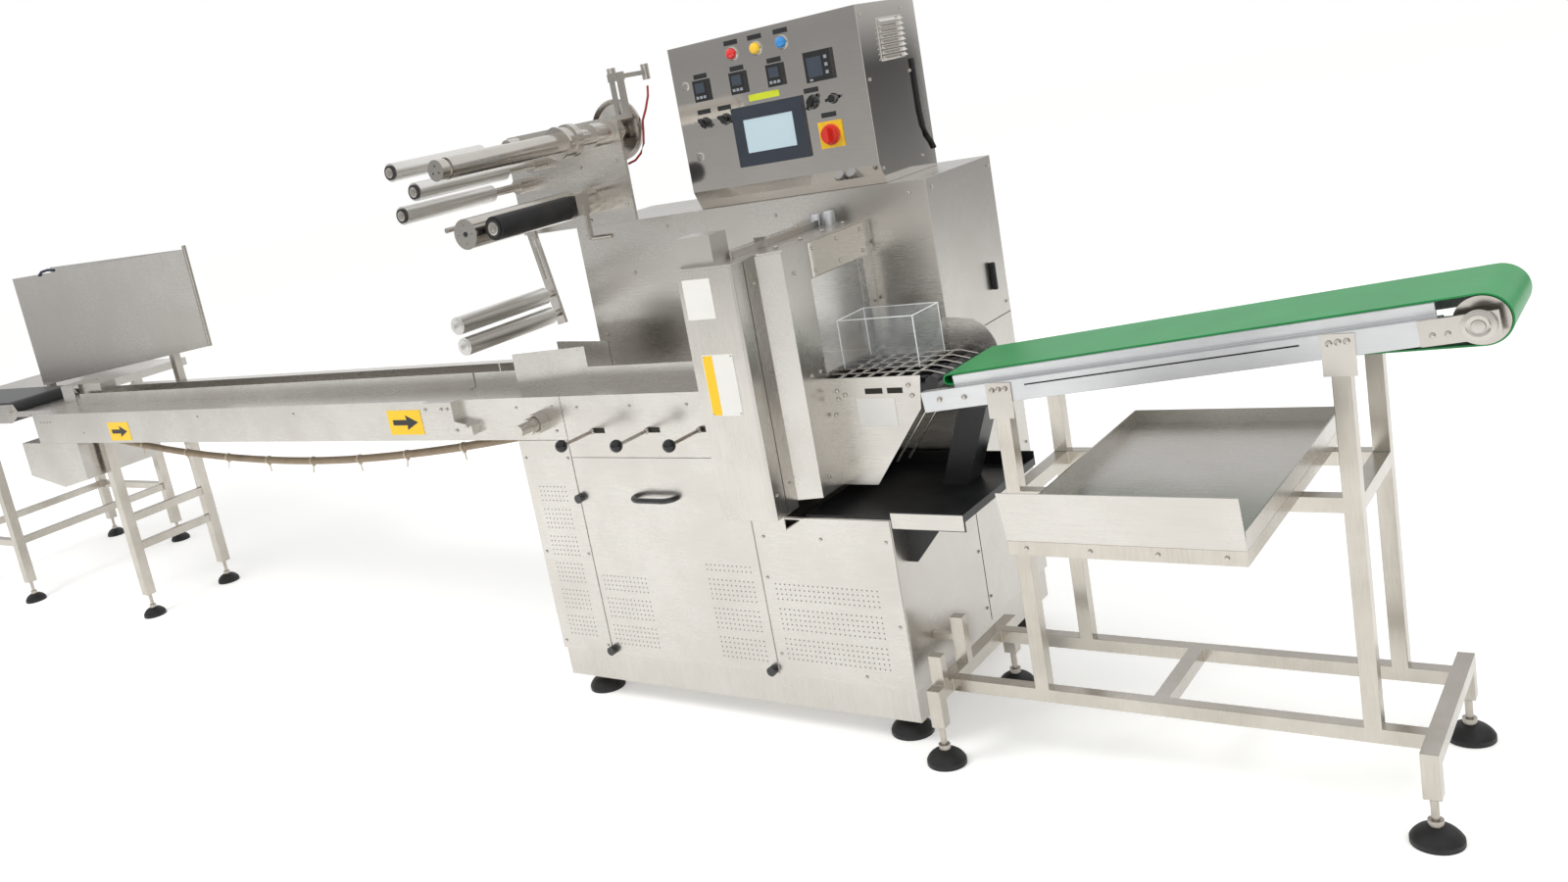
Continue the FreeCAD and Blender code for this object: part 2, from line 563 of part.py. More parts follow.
def dancer():
    # the arm hangs from its pivot in front of the plate; it is drawn upright and then swung to rest
    pivot = ("dancer_x", "dancer_back + clear_gap", "dancer_z")
    swing = Rotation(Vector(0, 1, 0), -SIZES["dancer_angle"])
    half, reach = "dancer_width / 2", "dancer_length"
    blank = padded(
        "dancer_bar", "XZ_Plane",
        [(f"-{half}", "-dancer_length"), (half, "-dancer_length"), (half, "0"), (f"-{half}", "0")],
        "dancer_thk", pivot, arcs={2: ("dancer_width / 2 + 0.01", True)}, turn=swing)
    slot = padded(
        "dancer_slot", "XZ_Plane",
        [("-5", "-dancer_length * 0.55"), ("5", "-dancer_length * 0.55"), ("5", "-dancer_length * 0.15"),
         ("-5", "-dancer_length * 0.15")],
        "dancer_thk + 2", ("dancer_x", "dancer_back + clear_gap - 1", "dancer_z"),
        arcs={0: ("5.01", True), 2: ("5.01", True)}, turn=swing)
    arm = without("dancer_plate", blank, [slot])
    boss = rod("dancer_boss", "y", ("dancer_x", "dancer_back + clear_gap + dancer_thk", "dancer_z"), "36",
               "housing_front - dancer_back - dancer_thk - 2 * clear_gap")
    node("dancer_arm", joined("dancer_arm", [arm, boss]))
    lean = math.radians(SIZES["dancer_angle"])
    for name, reach in (("upper", "dancer_high"), ("lower", "dancer_low")):
        out, down = round(math.sin(lean), 6), round(math.cos(lean), 6)
        node(f"dancer_roller_{name}", turned(
            f"dancer_roller_{name}",
            stepped_profile([("14", "0", "14"), ("dancer_dia - 14", "14", "18"),
                             ("dancer_dia", "18", "dancer_back - dancer_front - 34"),
                             ("20", "dancer_back - dancer_front - 34", "dancer_back - dancer_front")]),
            (f"dancer_x + {reach} * {out}", "dancer_front", f"dancer_z - {reach} * {down}"),
            turn=ALONG["y"]))


# ---------------------------------------------------------------- infeed conveyor
def infeed():
    depth, height = "infeed_width - sheet_thk", "deck_top - band_bottom"
    section = [
        ("0", f"{height} - deck_thk"), (f"{depth} - sheet_thk", f"{height} - deck_thk"),
        (f"{depth} - sheet_thk", "0"), (depth, "0"), (depth, height), ("0", height),
    ]
    node("infeed_bed", padded("infeed_bed", "YZ_Plane", section, "-infeed_left - clear_gap",
                              ("infeed_left", "sheet_thk", "band_bottom")))
    near_back, far_front = "guide_near - sheet_thk", "guide_far"
    guides = []
    runs = (("long", "guide_start", "guide_split - guide_start"), ("short", "guide_split + 6", "186"))
    for name, start, length in runs:
        near = [("0", "0"), ("guide_foot", "0"), ("guide_foot", "guide_height"),
                ("guide_foot - sheet_thk", "guide_height"), ("guide_foot - sheet_thk", "sheet_thk"),
                ("0", "sheet_thk")]
        guides.append(padded(f"guide_near_{name}", "YZ_Plane", near, length,
                             (start, "guide_near - guide_foot", "deck_top")))
        far = [("0", "0"), ("guide_foot", "0"), ("guide_foot", "sheet_thk"), ("sheet_thk", "sheet_thk"),
               ("sheet_thk", "guide_height"), ("0", "guide_height")]
        guides.append(padded(f"guide_far_{name}", "YZ_Plane", far, length,
                             (start, "guide_far", "deck_top")))
    guides.append(padded("guide_deck", "YZ_Plane", near, "420", ("184", "guide_near - guide_foot", "deck_top")))
    # two plates that narrow the way into the film tube
    near = box("wing_near", ("0", "0", "0"), ("wing_length", "sheet_thk", "wing_near_height"))
    put(near, ("-54", "102", "deck_top"), Rotation(Vector(0, 0, 1), SIZES["wing_angle"]))
    far = box("wing_far", ("0", "0", "0"), ("wing_length", "sheet_thk", "wing_far_height"))
    put(far, ("-62", "300", "deck_top"), Rotation(Vector(0, 0, 1), -SIZES["wing_angle"]))
    node("product_guides", together("product_guides", guides + [near, far]))
    node("crank_hub", turned(
        "crank_hub",
        stepped_profile([("hub_dia * 0.55", "0", "34"), ("hub_dia * 0.8", "34", "50"),
                         ("hub_dia * 0.7", "50", "58"), ("hub_dia", "58", "hub_reach - clear_gap")]),
        ("hub_x", "-hub_reach", "hub_z"), turn=ALONG["y"]))
    tall = "deck_top - sensor_box_bottom"
    bracket = padded(
        "infeed_sensor_box", "XZ_Plane",
        [("0", f"{tall} - 12"), ("0", "8"), ("20", "8"), ("20", "0"), ("70", "0"), ("sensor_box_width", "0"),
         ("sensor_box_width", "26"), ("130", "40"), ("130", tall), ("12", tall)],
        "26", ("sensor_box_left", "-26", "sensor_box_bottom"))
    node("infeed_sensor_box", bracket)
    legs = []
    for place in ("infeed_leg_near", "infeed_leg_far"):
        legs.append(box(f"{place}_tube", ("infeed_leg_x", place, "leg_bottom"),
                        ("leg_side", "leg_side", "deck_top - deck_thk - leg_bottom")))
    inner = "infeed_leg_near + leg_side"
    for place in ("infeed_rail_high", "infeed_rail_low"):
        legs.append(box(f"{place}_tube", ("infeed_leg_x + 5", inner, place),
                        ("tube_side", "infeed_leg_far - infeed_leg_near - leg_side", "tube_side")))
    node("infeed_legs", joined("infeed_legs", legs))
    for index, place in enumerate(("infeed_leg_near", "infeed_leg_far"), start=1):
        FEET.append(bell_foot(f"infeed_foot_{index}", "infeed_leg_x + leg_side / 2",
                              f"{place} + leg_side / 2", "leg_bottom"))


# Route of the corrugated hose under the infeed conveyor, hung between the leg and the cabinet.
HOSE_DIA = 25
HOSE_POINTS = (
    (-2302.7, 97, 742), (-2040, 112, 700), (-1750, 120, 668), (-1460, 124, 650), (-1170, 124, 643),
    (-880, 124, 650), (-590, 122, 670), (-290, 120, 699), (-2, 118, 738),
)


def bent_tube(name, points, diameter):
    """Tube of straight runs and tangent arcs through hand-placed points; prints its length and radii."""
    ends = [Vector(*point) for point in points]
    edges, radii, start = [], [], ends[0]
    for before, corner, after in zip(ends, ends[1:], ends[2:]):
        inward, outward = (before - corner).normalize(), (after - corner).normalize()
        half_turn = (math.pi - inward.getAngle(outward)) / 2
        cut_back = 0.45 * min((before - corner).Length, (after - corner).Length)
        radii.append(cut_back / math.tan(half_turn))
        first, last = corner + inward * cut_back, corner + outward * cut_back
        bisector = (inward + outward).normalize()
        middle = corner + bisector * (radii[-1] / math.cos(half_turn) - radii[-1])
        edges.append(Part.makeLine(start, first))
        edges.append(Part.Arc(first, middle, last).toShape())
        start = last
    edges.append(Part.makeLine(start, ends[-1]))
    spine = Part.Wire(edges)
    ring = Part.Wire([Part.makeCircle(diameter / 2, ends[0], ends[1] - ends[0])])
    piece = doc.addObject("Part::Feature", name)
    piece.Shape = spine.makePipeShell([ring], True, False)
    section = math.pi * diameter ** 2 / 4
    print(f"{name}: length {spine.Length:.0f} mm, smallest bend radius {min(radii):.0f} mm, "
          f"volume over section times length {piece.Shape.Volume / (section * spine.Length):.4f}")
    return put(piece, ("0", "0", "0"))


# ---------------------------------------------------------------- sealing head
def sealing_head():
    width, depth = "head_right - head_left", "-head_front"
    column = padded(
        "head_column_cover", "XY_Plane",
        [("0", "0"), (f"{width} - 7", "0"), (width, "7"), (width, depth), ("0", depth)],
        "head_top - head_bottom", ("head_left", "head_front", "head_bottom"))
    body_width = "head_side - door_right"
    blank = padded(
        "head_block", "XY_Plane",
        [("0", "0"), ("head_right - door_right", "0"), (body_width, "20"), (body_width, "housing_front"),
         ("0", "housing_front")],
        "head_top - head_back_bottom", ("door_right", "0", "head_back_bottom"))
    tunnel = box("head_tunnel", ("door_right - 1", "tunnel_near", "deck_top"),
                 (f"{body_width} + 2", "tunnel_far - tunnel_near", "tunnel_top - deck_top"))
    node("head_box", without("head_box", blank, [tunnel]))
    over = "lid_over"
    wide = f"head_side - head_left + 2 * {over}"
    back = "housing_front - head_front + lid_over"
    lid = padded(
        "head_lid_sheet", "XY_Plane",
        [("0", "0"), (f"{width} + 2 * {over}", "0"), (f"{width} + 2 * {over}", "-head_front + lid_over"),
         (wide, "-head_front + lid_over + 20"), (wide, back), ("0", back)],
        "lid_thk", ("head_left - lid_over", "head_front - lid_over", "head_top"))
    cap = box("head_motor_cap", ("head_left + 2", "head_front + 20", "head_top + lid_thk"),
              ("92", "66", "66"))
    node("head_lid", joined("head_lid", [lid, cap]))
    tall = "tunnel_top - deck_top"
    pane = "tunnel_far - tunnel_near + 30"
    window = padded(
        "head_window", "YZ_Plane",
        [("0", "2"), ("cover_near - tunnel_near + 12", "2"), ("cover_near - tunnel_near + 12", "92"),
         ("cover_near + cover_depth - tunnel_near - 12", "92"),
         ("cover_near + cover_depth - tunnel_near - 12", "2"), (pane, "2"), (pane, tall), ("0", tall)],
        "sheet_thk", ("head_side", "tunnel_near - 2", "deck_top"))
    hood = box("entry_block", ("668", "60", "deck_top"), ("door_right - sheet_thk - 668", "270", "176"))
    hollow = box("entry_hollow", ("667", "64", "deck_top - 1"), ("door_right - 660", "262", "173"))
    hood = without("entry_hood", hood, [hollow])
    block = box("cover_block", ("cover_left", "cover_near", "discharge_top - 2"),
                ("cover_width", "cover_depth", "cover_height"))
    inside = box("cover_hollow", ("cover_left - 1", "cover_near + sheet_thk", "discharge_top - 3"),
                 ("cover_width - sheet_thk + 1", "cover_depth - 2 * sheet_thk", "cover_height - sheet_thk + 1"))
    cover = without("exit_cover", block, [inside])
    node("clear_covers", together("clear_covers", [window, hood, cover]))
    bracket = padded(
        "head_bracket", "YZ_Plane",
        [("0", "0"), ("62", "0"), ("62", "4"), ("4", "4"), ("4", "32"), ("0", "32")],
        "66", ("head_right - 66", "head_front + 30", "head_bottom - 32"))
    node("head_column", joined("head_column", [column, bracket]))


# ---------------------------------------------------------------- discharge
def discharge():
    left, bottom = "head_side", "head_back_bottom"
    near = padded(
        "discharge_near_plate", "XZ_Plane",
        [("0", "0"), ("90", "0"), ("227", "181"), ("237", f"discharge_top - {bottom}"),
         ("0", f"discharge_top - {bottom}")],
        "sheet_thk", (left, "discharge_near", bottom))
    far = padded(
        "discharge_far_plate", "XZ_Plane",
        [("0", "0"), ("275", "0"), ("318", "52"), ("270", "118"), ("196", "128"), ("160", "60"), ("0", "60")],
        "sheet_thk", (left, "discharge_far", "808"),
        arcs={1: ("60", True), 2: ("90", True)})
    span = "discharge_far - discharge_near - sheet_thk"
    pieces = [near, far]
    for index in range(int(SIZES["rod_count"])):
        pieces.append(rod(f"discharge_rod_{index}", "y",
                        (f"rod_first + rod_pitch * {index}", "discharge_near + sheet_thk", "discharge_top - 6"),
                        "rod_dia", span))
    node("discharge_frame", joined("discharge_frame", pieces))
    roller = rod("nose_roller", "y", ("1176", "discharge_near + sheet_thk", "838"), "32", span)
    shelf = box("belt_shelf", (left, "discharge_near + sheet_thk", "812"), ("245", span, "10"))
    carrier = [
        roller, shelf,
        box("belt_link", ("1120", "discharge_near + sheet_thk", "816"), ("56", "20", "20")),
        box("belt_link_far", ("1120", "discharge_far - 20", "816"), ("56", "20", "20")),
    ]
    for index in range(4):
        carrier.append(box(f"discharge_belt_{index}", (left, f"discharge_near + 30 + 50 * {index}", "822"),
                         ("232", "24", "22")))
    node("discharge_belts", joined("discharge_belts", carrier))
    # black catch plate on the low part of the cabinet, carried past its side by a gusset
    floor = box("catch_floor", ("catch_left", "8", "recess_top"), ("catch_right - catch_left", "390", "4"))
    lip = box("catch_lip", ("catch_right - 4", "8", "recess_top + 4"), ("4", "390", "14"))
    wall = box("catch_wall", ("catch_left", "394", "recess_top + 4"), ("catch_right - catch_left", "4", "30"))
    edge = box("catch_edge", ("cabinet_width", "5", "recess_top - 22"),
               ("catch_right - cabinet_width", "3", "40"))
    gusset = padded(
        "catch_gusset", "XZ_Plane", [("0", "0"), ("20", "0"), ("120", "120"), ("0", "120")],
        "5", ("cabinet_width", "60", "recess_top - 120"))
    chute = padded(
        "scrap_chute", "XZ_Plane", [("0", "0"), ("64", "0"), ("134", "184"), ("68", "184")],
        "70", ("1104", "235", "recess_top + 4"))
    node("catch_plate", joined("catch_plate", [floor, lip, wall, edge, gusset, chute]))


# ---------------------------------------------------------------- outfeed conveyor
def sloped(piece, along, across, y, turn=None):
    """Places a piece drawn level in the conveyor's own axes, then leans it with the conveyor."""
    lean = math.radians(SIZES["slope"])
    cosine, sine = round(math.cos(lean), 8), round(math.sin(lean), 8)
    x = f"rail_x + {scaled(along, cosine)} + {scaled(across, -sine)}"
    z = f"rail_z + {scaled(along, sine)} + {scaled(across, cosine)}"
    return put(piece, (x, y, z), turn or Rotation(Vector(0, 1, 0), -SIZES["slope"]))


def loop_face(nose, nose_radius, drum, drum_radius):
    """Face inside a band pulled round two pulleys, in the XZ plane."""
    reach = drum - nose
    lean = math.atan2(reach.z, reach.x)
    open_angle = math.acos((nose_radius - drum_radius) / reach.Length)

    def on(centre, radius, angle):
        return centre + Vector(radius * math.cos(angle), 0, radius * math.sin(angle))

    upper, lower = lean + open_angle, lean - open_angle
    nose_arc = Part.Arc(on(nose, nose_radius, upper), on(nose, nose_radius, lean + math.pi),
                        on(nose, nose_radius, lower))
    drum_arc = Part.Arc(on(drum, drum_radius, lower), on(drum, drum_radius, lean),
                        on(drum, drum_radius, upper))
    wire = Part.Wire([
        nose_arc.toShape(),
        Part.makeLine(on(nose, nose_radius, lower), on(drum, drum_radius, lower)),
        drum_arc.toShape(),
        Part.makeLine(on(drum, drum_radius, upper), on(nose, nose_radius, upper)),
    ])
    return Part.Face(wire)


def outfeed():
    near = box("rail_near_bar", ("0", "0", "0"), ("rail_length", "rail_thk", "rail_height"))
    far = box("rail_far_bar", ("0", "0", "0"), ("rail_length", "rail_thk", "rail_height"))
    sloped(near, "0", "-rail_height", "rail_near")
    sloped(far, "0", "-rail_height", "rail_far - rail_thk")
    inner = "rail_far - rail_near - 2 * rail_thk"
    bed = padded(
        "outfeed_bed", "YZ_Plane",
        [("0", "0"), ("3", "0"), ("3", "38"), (f"{inner} - 3", "38"), (f"{inner} - 3", "0"), (inner, "0"),
         (inner, "41.8"), ("0", "41.8")],
        "rail_length - 80", ("0", "0", "0"))
    sloped(bed, "70", "-20", "rail_near + rail_thk")
    node("outfeed_frame", joined("outfeed_frame", [near, far, bed]))
    # the belt is one closed loop round a thin nose and the drum
    thick = SIZES["belt_thk"]
    nose = Vector(SIZES["nose_along"], 0, SIZES["belt_over"] - SIZES["nose_radius"])
    drum = Vector(SIZES["drum_along"], 0, SIZES["belt_over"] - SIZES["drum_radius"])
    outer = loop_face(nose, SIZES["nose_radius"], drum, SIZES["drum_radius"])
    hollow = loop_face(nose, SIZES["nose_radius"] - thick, drum, SIZES["drum_radius"] - thick)
    width = SIZES["rail_far"] - SIZES["rail_near"] - 2 * SIZES["rail_thk"] - 2 * SIZES["belt_margin"]
    belt = doc.addObject("Part::Feature", "outfeed_belt")
    belt.Shape = outer.cut(hollow).extrude(Vector(0, width, 0))
    node("outfeed_belt", sloped(belt, "0", "0", "rail_near + rail_thk + belt_margin"))
    shaft = "rail_far - rail_near - 2 * clear_gap"
    skin, far_skin = "rail_thk + 5 - clear_gap", "rail_far - rail_near - rail_thk - 5 - clear_gap"
    roller = turned(
        "outfeed_drum",
        stepped_profile([("20", "0", skin), ("2 * drum_radius - 2 * belt_thk - 2 * drum_gap", skin, far_skin),
                         ("20", far_skin, shaft)]),
        ("0", "0", "0"), turn=ALONG["y"])
    node("outfeed_drum", roller)
    drum_across = "belt_over - drum_radius"
    sloped(roller, "drum_along", drum_across, "rail_near + clear_gap", ALONG["y"])
    plates = []
    for name, y, cap_y in (("near", "rail_near - 6", "rail_near - 14"), ("far", "rail_far", "rail_far + 6")):
        plate = box(f"bearing_plate_{name}", ("0", "0", "0"), ("116", "6", "rail_height"))
        sloped(plate, "drum_along - 86", "-rail_height", y)
        cap = rod(f"bearing_cap_{name}", "y", ("0", "0", "0"), "52", "8")
        sloped(cap, "drum_along", drum_across, cap_y, ALONG["y"])
        plates.append(joined(f"bearing_{name}", [plate, cap]))
    return plates


def outfeed_stand(plates):
    tube, low = "tube_side", "stand_low"
    span = "stand_far - stand_near"
    base = []
    for name, x in (("left", "stand_left"), ("right", "stand_right")):
        base.append(box(f"stand_end_{name}", (x, "stand_near", low), (tube, span, tube)))
        base.append(box(f"stand_leg_near_{name}", (x, "stand_near", "leg_bottom"),
                        (tube, tube, "stand_low - leg_bottom")))
        base.append(box(f"stand_leg_far_{name}", (x, "stand_far - tube_side", "leg_bottom"),
                        (tube, tube, "stand_low - leg_bottom")))
    length = "stand_right - stand_left - tube_side"
    for name, y in (("near", "rail_near"), ("far", "rail_far - tube_side")):
        base.append(box(f"stand_long_{name}", ("stand_left + tube_side", y, low), (length, tube, tube)))
    base.append(box("stand_cross", ("cross_x", "rail_near + tube_side", low),
                    (tube, "rail_far - rail_near - 2 * tube_side", tube)))
    base.append(box("stand_stub", ("stand_left", "100", "stand_low + tube_side"), (tube, "24", "110")))
    base.append(box("stand_stub_near", ("stand_left", "stand_near + tube_side", "stand_low + tube_side"), (tube, "24", "70")))
    base.append(box("stand_tie", ("cabinet_width", "104", "230"), ("stand_left - cabinet_width", "16", "16")))
    upper = base
    for side, x, top in (("left", "upright_left", "upright_left_top"),
                         ("right", "upright_right", "upright_right_top")):
        for depth, y in (("near", "rail_near"), ("far", "rail_far - tube_side")):
            upper.append(box(f"upright_{side}_{depth}", (x, y, "stand_low + tube_side"),
                             (tube, tube, f"{top} - stand_low - tube_side")))
        upper.append(box(f"mid_cross_{side}", (x, "rail_near + tube_side", "mid_rail"),
                         (tube, "rail_far - rail_near - 2 * tube_side", tube)))
    between = "upright_right - upright_left - tube_side"
    for depth, y in (("near", "rail_near"), ("far", "rail_far - tube_side")):
        upper.append(box(f"mid_long_{depth}", ("upright_left + tube_side", y, "mid_rail"), (between, tube, tube)))
    node("outfeed_stand", joined("outfeed_stand", upper))
    for side, x, top in (("left", "upright_left", "upright_left_top"),
                         ("right", "upright_right", "upright_right_top")):
        for depth, y in (("near", "rail_near - sheet_thk"), ("far", "rail_far")):
            plates.append(box(f"splice_{side}_{depth}", (f"{x} - 12", y, f"{top} - 30"),
                              ("54", "sheet_thk", "76")))
    node("rail_plates", together("rail_plates", plates))
    for side, x in (("left", "stand_left"), ("right", "stand_right")):
        for depth, y in (("near", "stand_near"), ("far", "stand_far - tube_side")):
            FEET.append(bell_foot(f"stand_foot_{side}_{depth}", f"{x} + tube_side / 2",
                                  f"{y} + tube_side / 2", "leg_bottom"))


def catch_tray():
    wide, deep = "tray_right - tray_left", "tray_far - tray_near"
    rest = "mid_rail + tube_side"
    outer = box("tray_ring_outer", ("tray_left", "tray_near", rest), (wide, deep, "28"))
    inner = box("tray_ring_inner", ("tray_left + 26", "tray_near + 26", f"{rest} - 1"),
                (f"{wide} - 52", f"{deep} - 52", "30"))
    node("tray_frame", without("tray_frame", outer, [inner]))
    floor = f"{rest} + 28"
    pan = [
        box("tray_floor", ("tray_left", "tray_near", floor), (wide, deep, "sheet_thk")),
        box("tray_back", ("tray_left", "tray_far - sheet_thk", floor), (wide, "sheet_thk", "tray_flange_top - mid_rail - 58")),
        box("tray_left_side", ("tray_left", "tray_near", floor), ("sheet_thk", deep, "tray_flange_top - mid_rail - 58")),
        box("tray_right_side", ("tray_right - sheet_thk", "tray_near", floor),
            ("sheet_thk", deep, "tray_flange_top - mid_rail - 58")),
        padded("tray_lip", "YZ_Plane",
               [("20", "0"), ("23", "0"), ("3", "tray_lip_top - mid_rail - 58"), ("0", "tray_lip_top - mid_rail - 58")],
               wide, ("tray_left", "tray_near - 20", floor)),
    ]
    node("catch_tray", joined("catch_tray", pan))


# ---------------------------------------------------------------- feeder and hopper
def feeder():
    # the table lies behind; in front of it a short black belt carries products to the infeed
    table = "feeder_top - table_thk"
    pieces = [box("table_top", ("feeder_left", "belt_far + sheet_thk", table),
                  ("feeder_table_right - feeder_left", "feeder_far - belt_far - sheet_thk", "table_thk"))]
    run = "belt_end_x - feeder_left"
    node("feeder_belt", padded(
        "feeder_belt", "XZ_Plane",
        [("0", "0"), (run, "0"), (run, "2 * belt_end_radius"), ("0", "2 * belt_end_radius")],
        "belt_far - belt_near", ("feeder_left", "belt_near", "belt_end_z - belt_end_radius"),
        arcs={1: ("belt_end_radius + 0.001", True)}))
    tip = "infeed_left - feeder_left - clear_gap"
    for name, y in (("near", "belt_near - sheet_thk"), ("far", "belt_far")):
        pieces.append(padded(
            f"belt_side_{name}", "XZ_Plane",
            [("0", "0"), (run, "0"), (f"{run} + 50", "26"), (tip, "26"), (tip, "50"), (f"{run} + 66", "50"),
             (f"{run} + 40", "80"), ("0", "80")],
            "sheet_thk", ("feeder_left", y, "belt_end_z - 46")))
    pieces.append(box("transfer_plate", ("belt_end_x + belt_end_radius + 4", "belt_near", "deck_top - 8"),
                      ("infeed_left - belt_end_x - belt_end_radius - 4 - clear_gap",
                       "belt_far - belt_near", "sheet_thk")))
    pieces.append(rod("roller_hub", "y", ("belt_end_x", "belt_near - sheet_thk - 10", "belt_end_z"), "44", "10"))
    node("feeder_table", joined("feeder_table", pieces))
    node("drive_box", padded(
        "drive_box", "XZ_Plane",
        [("60", "0"), ("250", "-34"), ("440", "0"), ("440", "150"), ("0", "150"), ("0", "12")],
        "340", ("infeed_left - 155", "1", "band_bottom - 150")))
    bridge = padded(
        "loading_bridge", "YZ_Plane",
        [("0", "0"), ("3", "0"), ("3", "77"), ("111", "77"), ("111", "0"), ("114", "0"), ("114", "80"),
         ("0", "80")],
        "96", ("-2610", "127", "deck_top"))
    sensor = box("loading_sensor", ("-2514", "150", "deck_top + 38"), ("170", "66", "42"))
    node("loading_bridge", joined("loading_bridge", [bridge, sensor]))
    rise = "hopper_low_right - hopper_low_left"
    node("hopper_front_plate", padded(
        "hopper_front_plate", "XZ_Plane",
        [("0", "0"), ("hopper_right - hopper_left", rise),
         ("hopper_right - hopper_left", "hopper_top - hopper_low_left"), ("0", "hopper_top - hopper_low_left")],
        "sheet_thk", ("hopper_left", "hopper_y", "hopper_low_left")))
    back = padded(
        "hopper_back_wall", "XZ_Plane",
        [("0", "0"), ("hopper_right - feeder_left", rise),
         ("hopper_right - feeder_left", "hopper_top - hopper_low_left"), ("0", "hopper_top - hopper_low_left")],
        "sheet_thk", ("0", "0", "0"))
    swing = math.radians(SIZES["hopper_swing"])
    long_side = f"hopper_right * {round(math.cos(swing), 8)} - feeder_left * {round(math.cos(swing), 8)}"
    run = f"hopper_right * {round(math.sin(swing), 8)} - feeder_left * {round(math.sin(swing), 8)}"
    put(back, (f"hopper_right - {long_side.replace(' - ', ' + ')}", f"hopper_y + sheet_thk + {run}", "hopper_low_left"),
        Rotation(Vector(0, 0, 1), -SIZES["hopper_swing"]))
    node("hopper_back_wall", back)
    posts = [
        box("hopper_post_right", ("hopper_post_x", "hopper_y + sheet_thk", "deck_top"),
            ("tube_side", "tube_side", "250")),
        box("hopper_post_left", ("hopper_left + 20", "hopper_y + sheet_thk", "feeder_top"),
            ("tube_side", "tube_side", "250")),
    ]
    posts.append(rod("hopper_rod", "z", ("hopper_right + 8", "hopper_y + 2", "hopper_low_right"), "16",
                     "hopper_top - hopper_low_right + 14"))
    node("hopper_posts", together("hopper_posts", posts))
    frame = []
    right, left = "hopper_left + 9", "feeder_left + 30"
    for name, x in (("right", right), ("left", left)):
        for depth, y in (("near", "feeder_near"), ("far", "feeder_far - leg_side")):
            top = "belt_end_z - 46" if depth == "near" else table
            frame.append(box(f"feeder_leg_{name}_{depth}", (x, y, "leg_bottom"),
                             ("leg_side", "leg_side", f"{top} - leg_bottom")))
        frame.append(box(f"feeder_side_{name}", (x, "feeder_near + leg_side", "260"),
                         ("tube_side", "feeder_far - feeder_near - 2 * leg_side", "tube_side")))
    for depth, y in (("near", "feeder_near"), ("far", "feeder_far - tube_side")):
        frame.append(box(f"feeder_long_{depth}", (left, y, "260"), ("hopper_left - feeder_left - 21", "tube_side", "tube_side")))
    node("feeder_frame", joined("feeder_frame", frame))
    for name, x in (("right", right), ("left", left)):
        for depth, y in (("near", "feeder_near"), ("far", "feeder_far - leg_side")):
            FEET.append(bell_foot(f"feeder_foot_{name}_{depth}", f"{x} + leg_side / 2",
                                  f"{y} + leg_side / 2", "leg_bottom"))


# ---------------------------------------------------------------- build, check, write
cabinet()
cabinet_fittings()
cabinet_feet()
console()
film_unit()
dancer()
infeed()
node("cable_hose", bent_tube("cable_hose", HOSE_POINTS, HOSE_DIA))
sealing_head()
discharge()
outfeed_stand(outfeed())
catch_tray()
feeder()
node("levelling_feet", together("levelling_feet", FEET))
doc.recompute()

faults = [f"{item.Label}: {item.State}" for item in doc.Objects
          if "Invalid" in item.State or "Error" in item.State]
for name, piece in NODES.items():
    if piece.Shape.isNull() or not piece.Shape.isValid():
        faults.append(f"{name}: its shape is null or not valid")
if faults:
    raise RuntimeError("The document has failed objects:\n" + "\n".join(faults))

os.makedirs("parts", exist_ok=True)
whole = Part.makeCompound([piece.Shape for piece in NODES.values()])
bounds = whole.BoundBox
print(f"{len(NODES)} sub-parts; X {bounds.XMin:.1f} to {bounds.XMax:.1f}, "
      f"Y {bounds.YMin:.1f} to {bounds.YMax:.1f}, Z {bounds.ZMin:.1f} to {bounds.ZMax:.1f}")
for name, piece in NODES.items():
    solids = piece.Shape.Solids
    print(f"{name}: {len(solids)} solid(s), {sum(solid.Volume for solid in solids) / 1000:.0f} cm3")
    piece.Shape.exportStep(f"parts/{name}.step")
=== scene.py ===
# %% [markdown]
# # A horizontal flow wrapper, finished in Blender
# The machine wraps single products in film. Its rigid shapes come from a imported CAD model, which is
# loaded as a fixed frame. This lesson gives every piece its finish and adds what is too fine for CAD:
# screws, punched holes, the corrugated hose, lamp lenses, dial faces and blank label plates.

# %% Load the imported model
import math
import bmesh
import bpy
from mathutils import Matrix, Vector


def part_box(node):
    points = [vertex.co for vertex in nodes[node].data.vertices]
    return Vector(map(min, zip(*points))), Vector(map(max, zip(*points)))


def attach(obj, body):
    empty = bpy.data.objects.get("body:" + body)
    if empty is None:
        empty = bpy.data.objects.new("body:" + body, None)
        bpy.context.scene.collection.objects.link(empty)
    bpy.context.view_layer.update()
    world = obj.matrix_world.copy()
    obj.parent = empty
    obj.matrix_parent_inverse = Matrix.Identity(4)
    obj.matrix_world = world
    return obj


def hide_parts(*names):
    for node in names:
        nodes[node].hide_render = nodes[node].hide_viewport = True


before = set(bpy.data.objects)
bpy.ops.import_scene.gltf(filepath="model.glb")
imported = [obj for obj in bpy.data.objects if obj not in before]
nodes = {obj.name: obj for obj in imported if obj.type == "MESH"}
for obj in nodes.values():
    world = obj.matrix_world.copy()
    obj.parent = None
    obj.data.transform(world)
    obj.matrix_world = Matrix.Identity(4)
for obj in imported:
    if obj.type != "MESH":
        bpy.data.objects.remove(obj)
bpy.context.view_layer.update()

# %% [markdown]
# ## Measuring from the cabinet
# Fitters measure this machine from the cabinet: millimetres to the right of its left side, behind its
# front sheets and above the floor. One function turns such a place into the frame's metres.

# %% One ruler for the whole machine
MM = 0.001
cabinet_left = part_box("cabinet_body")[0].x
front_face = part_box("front_sheets")[0].y


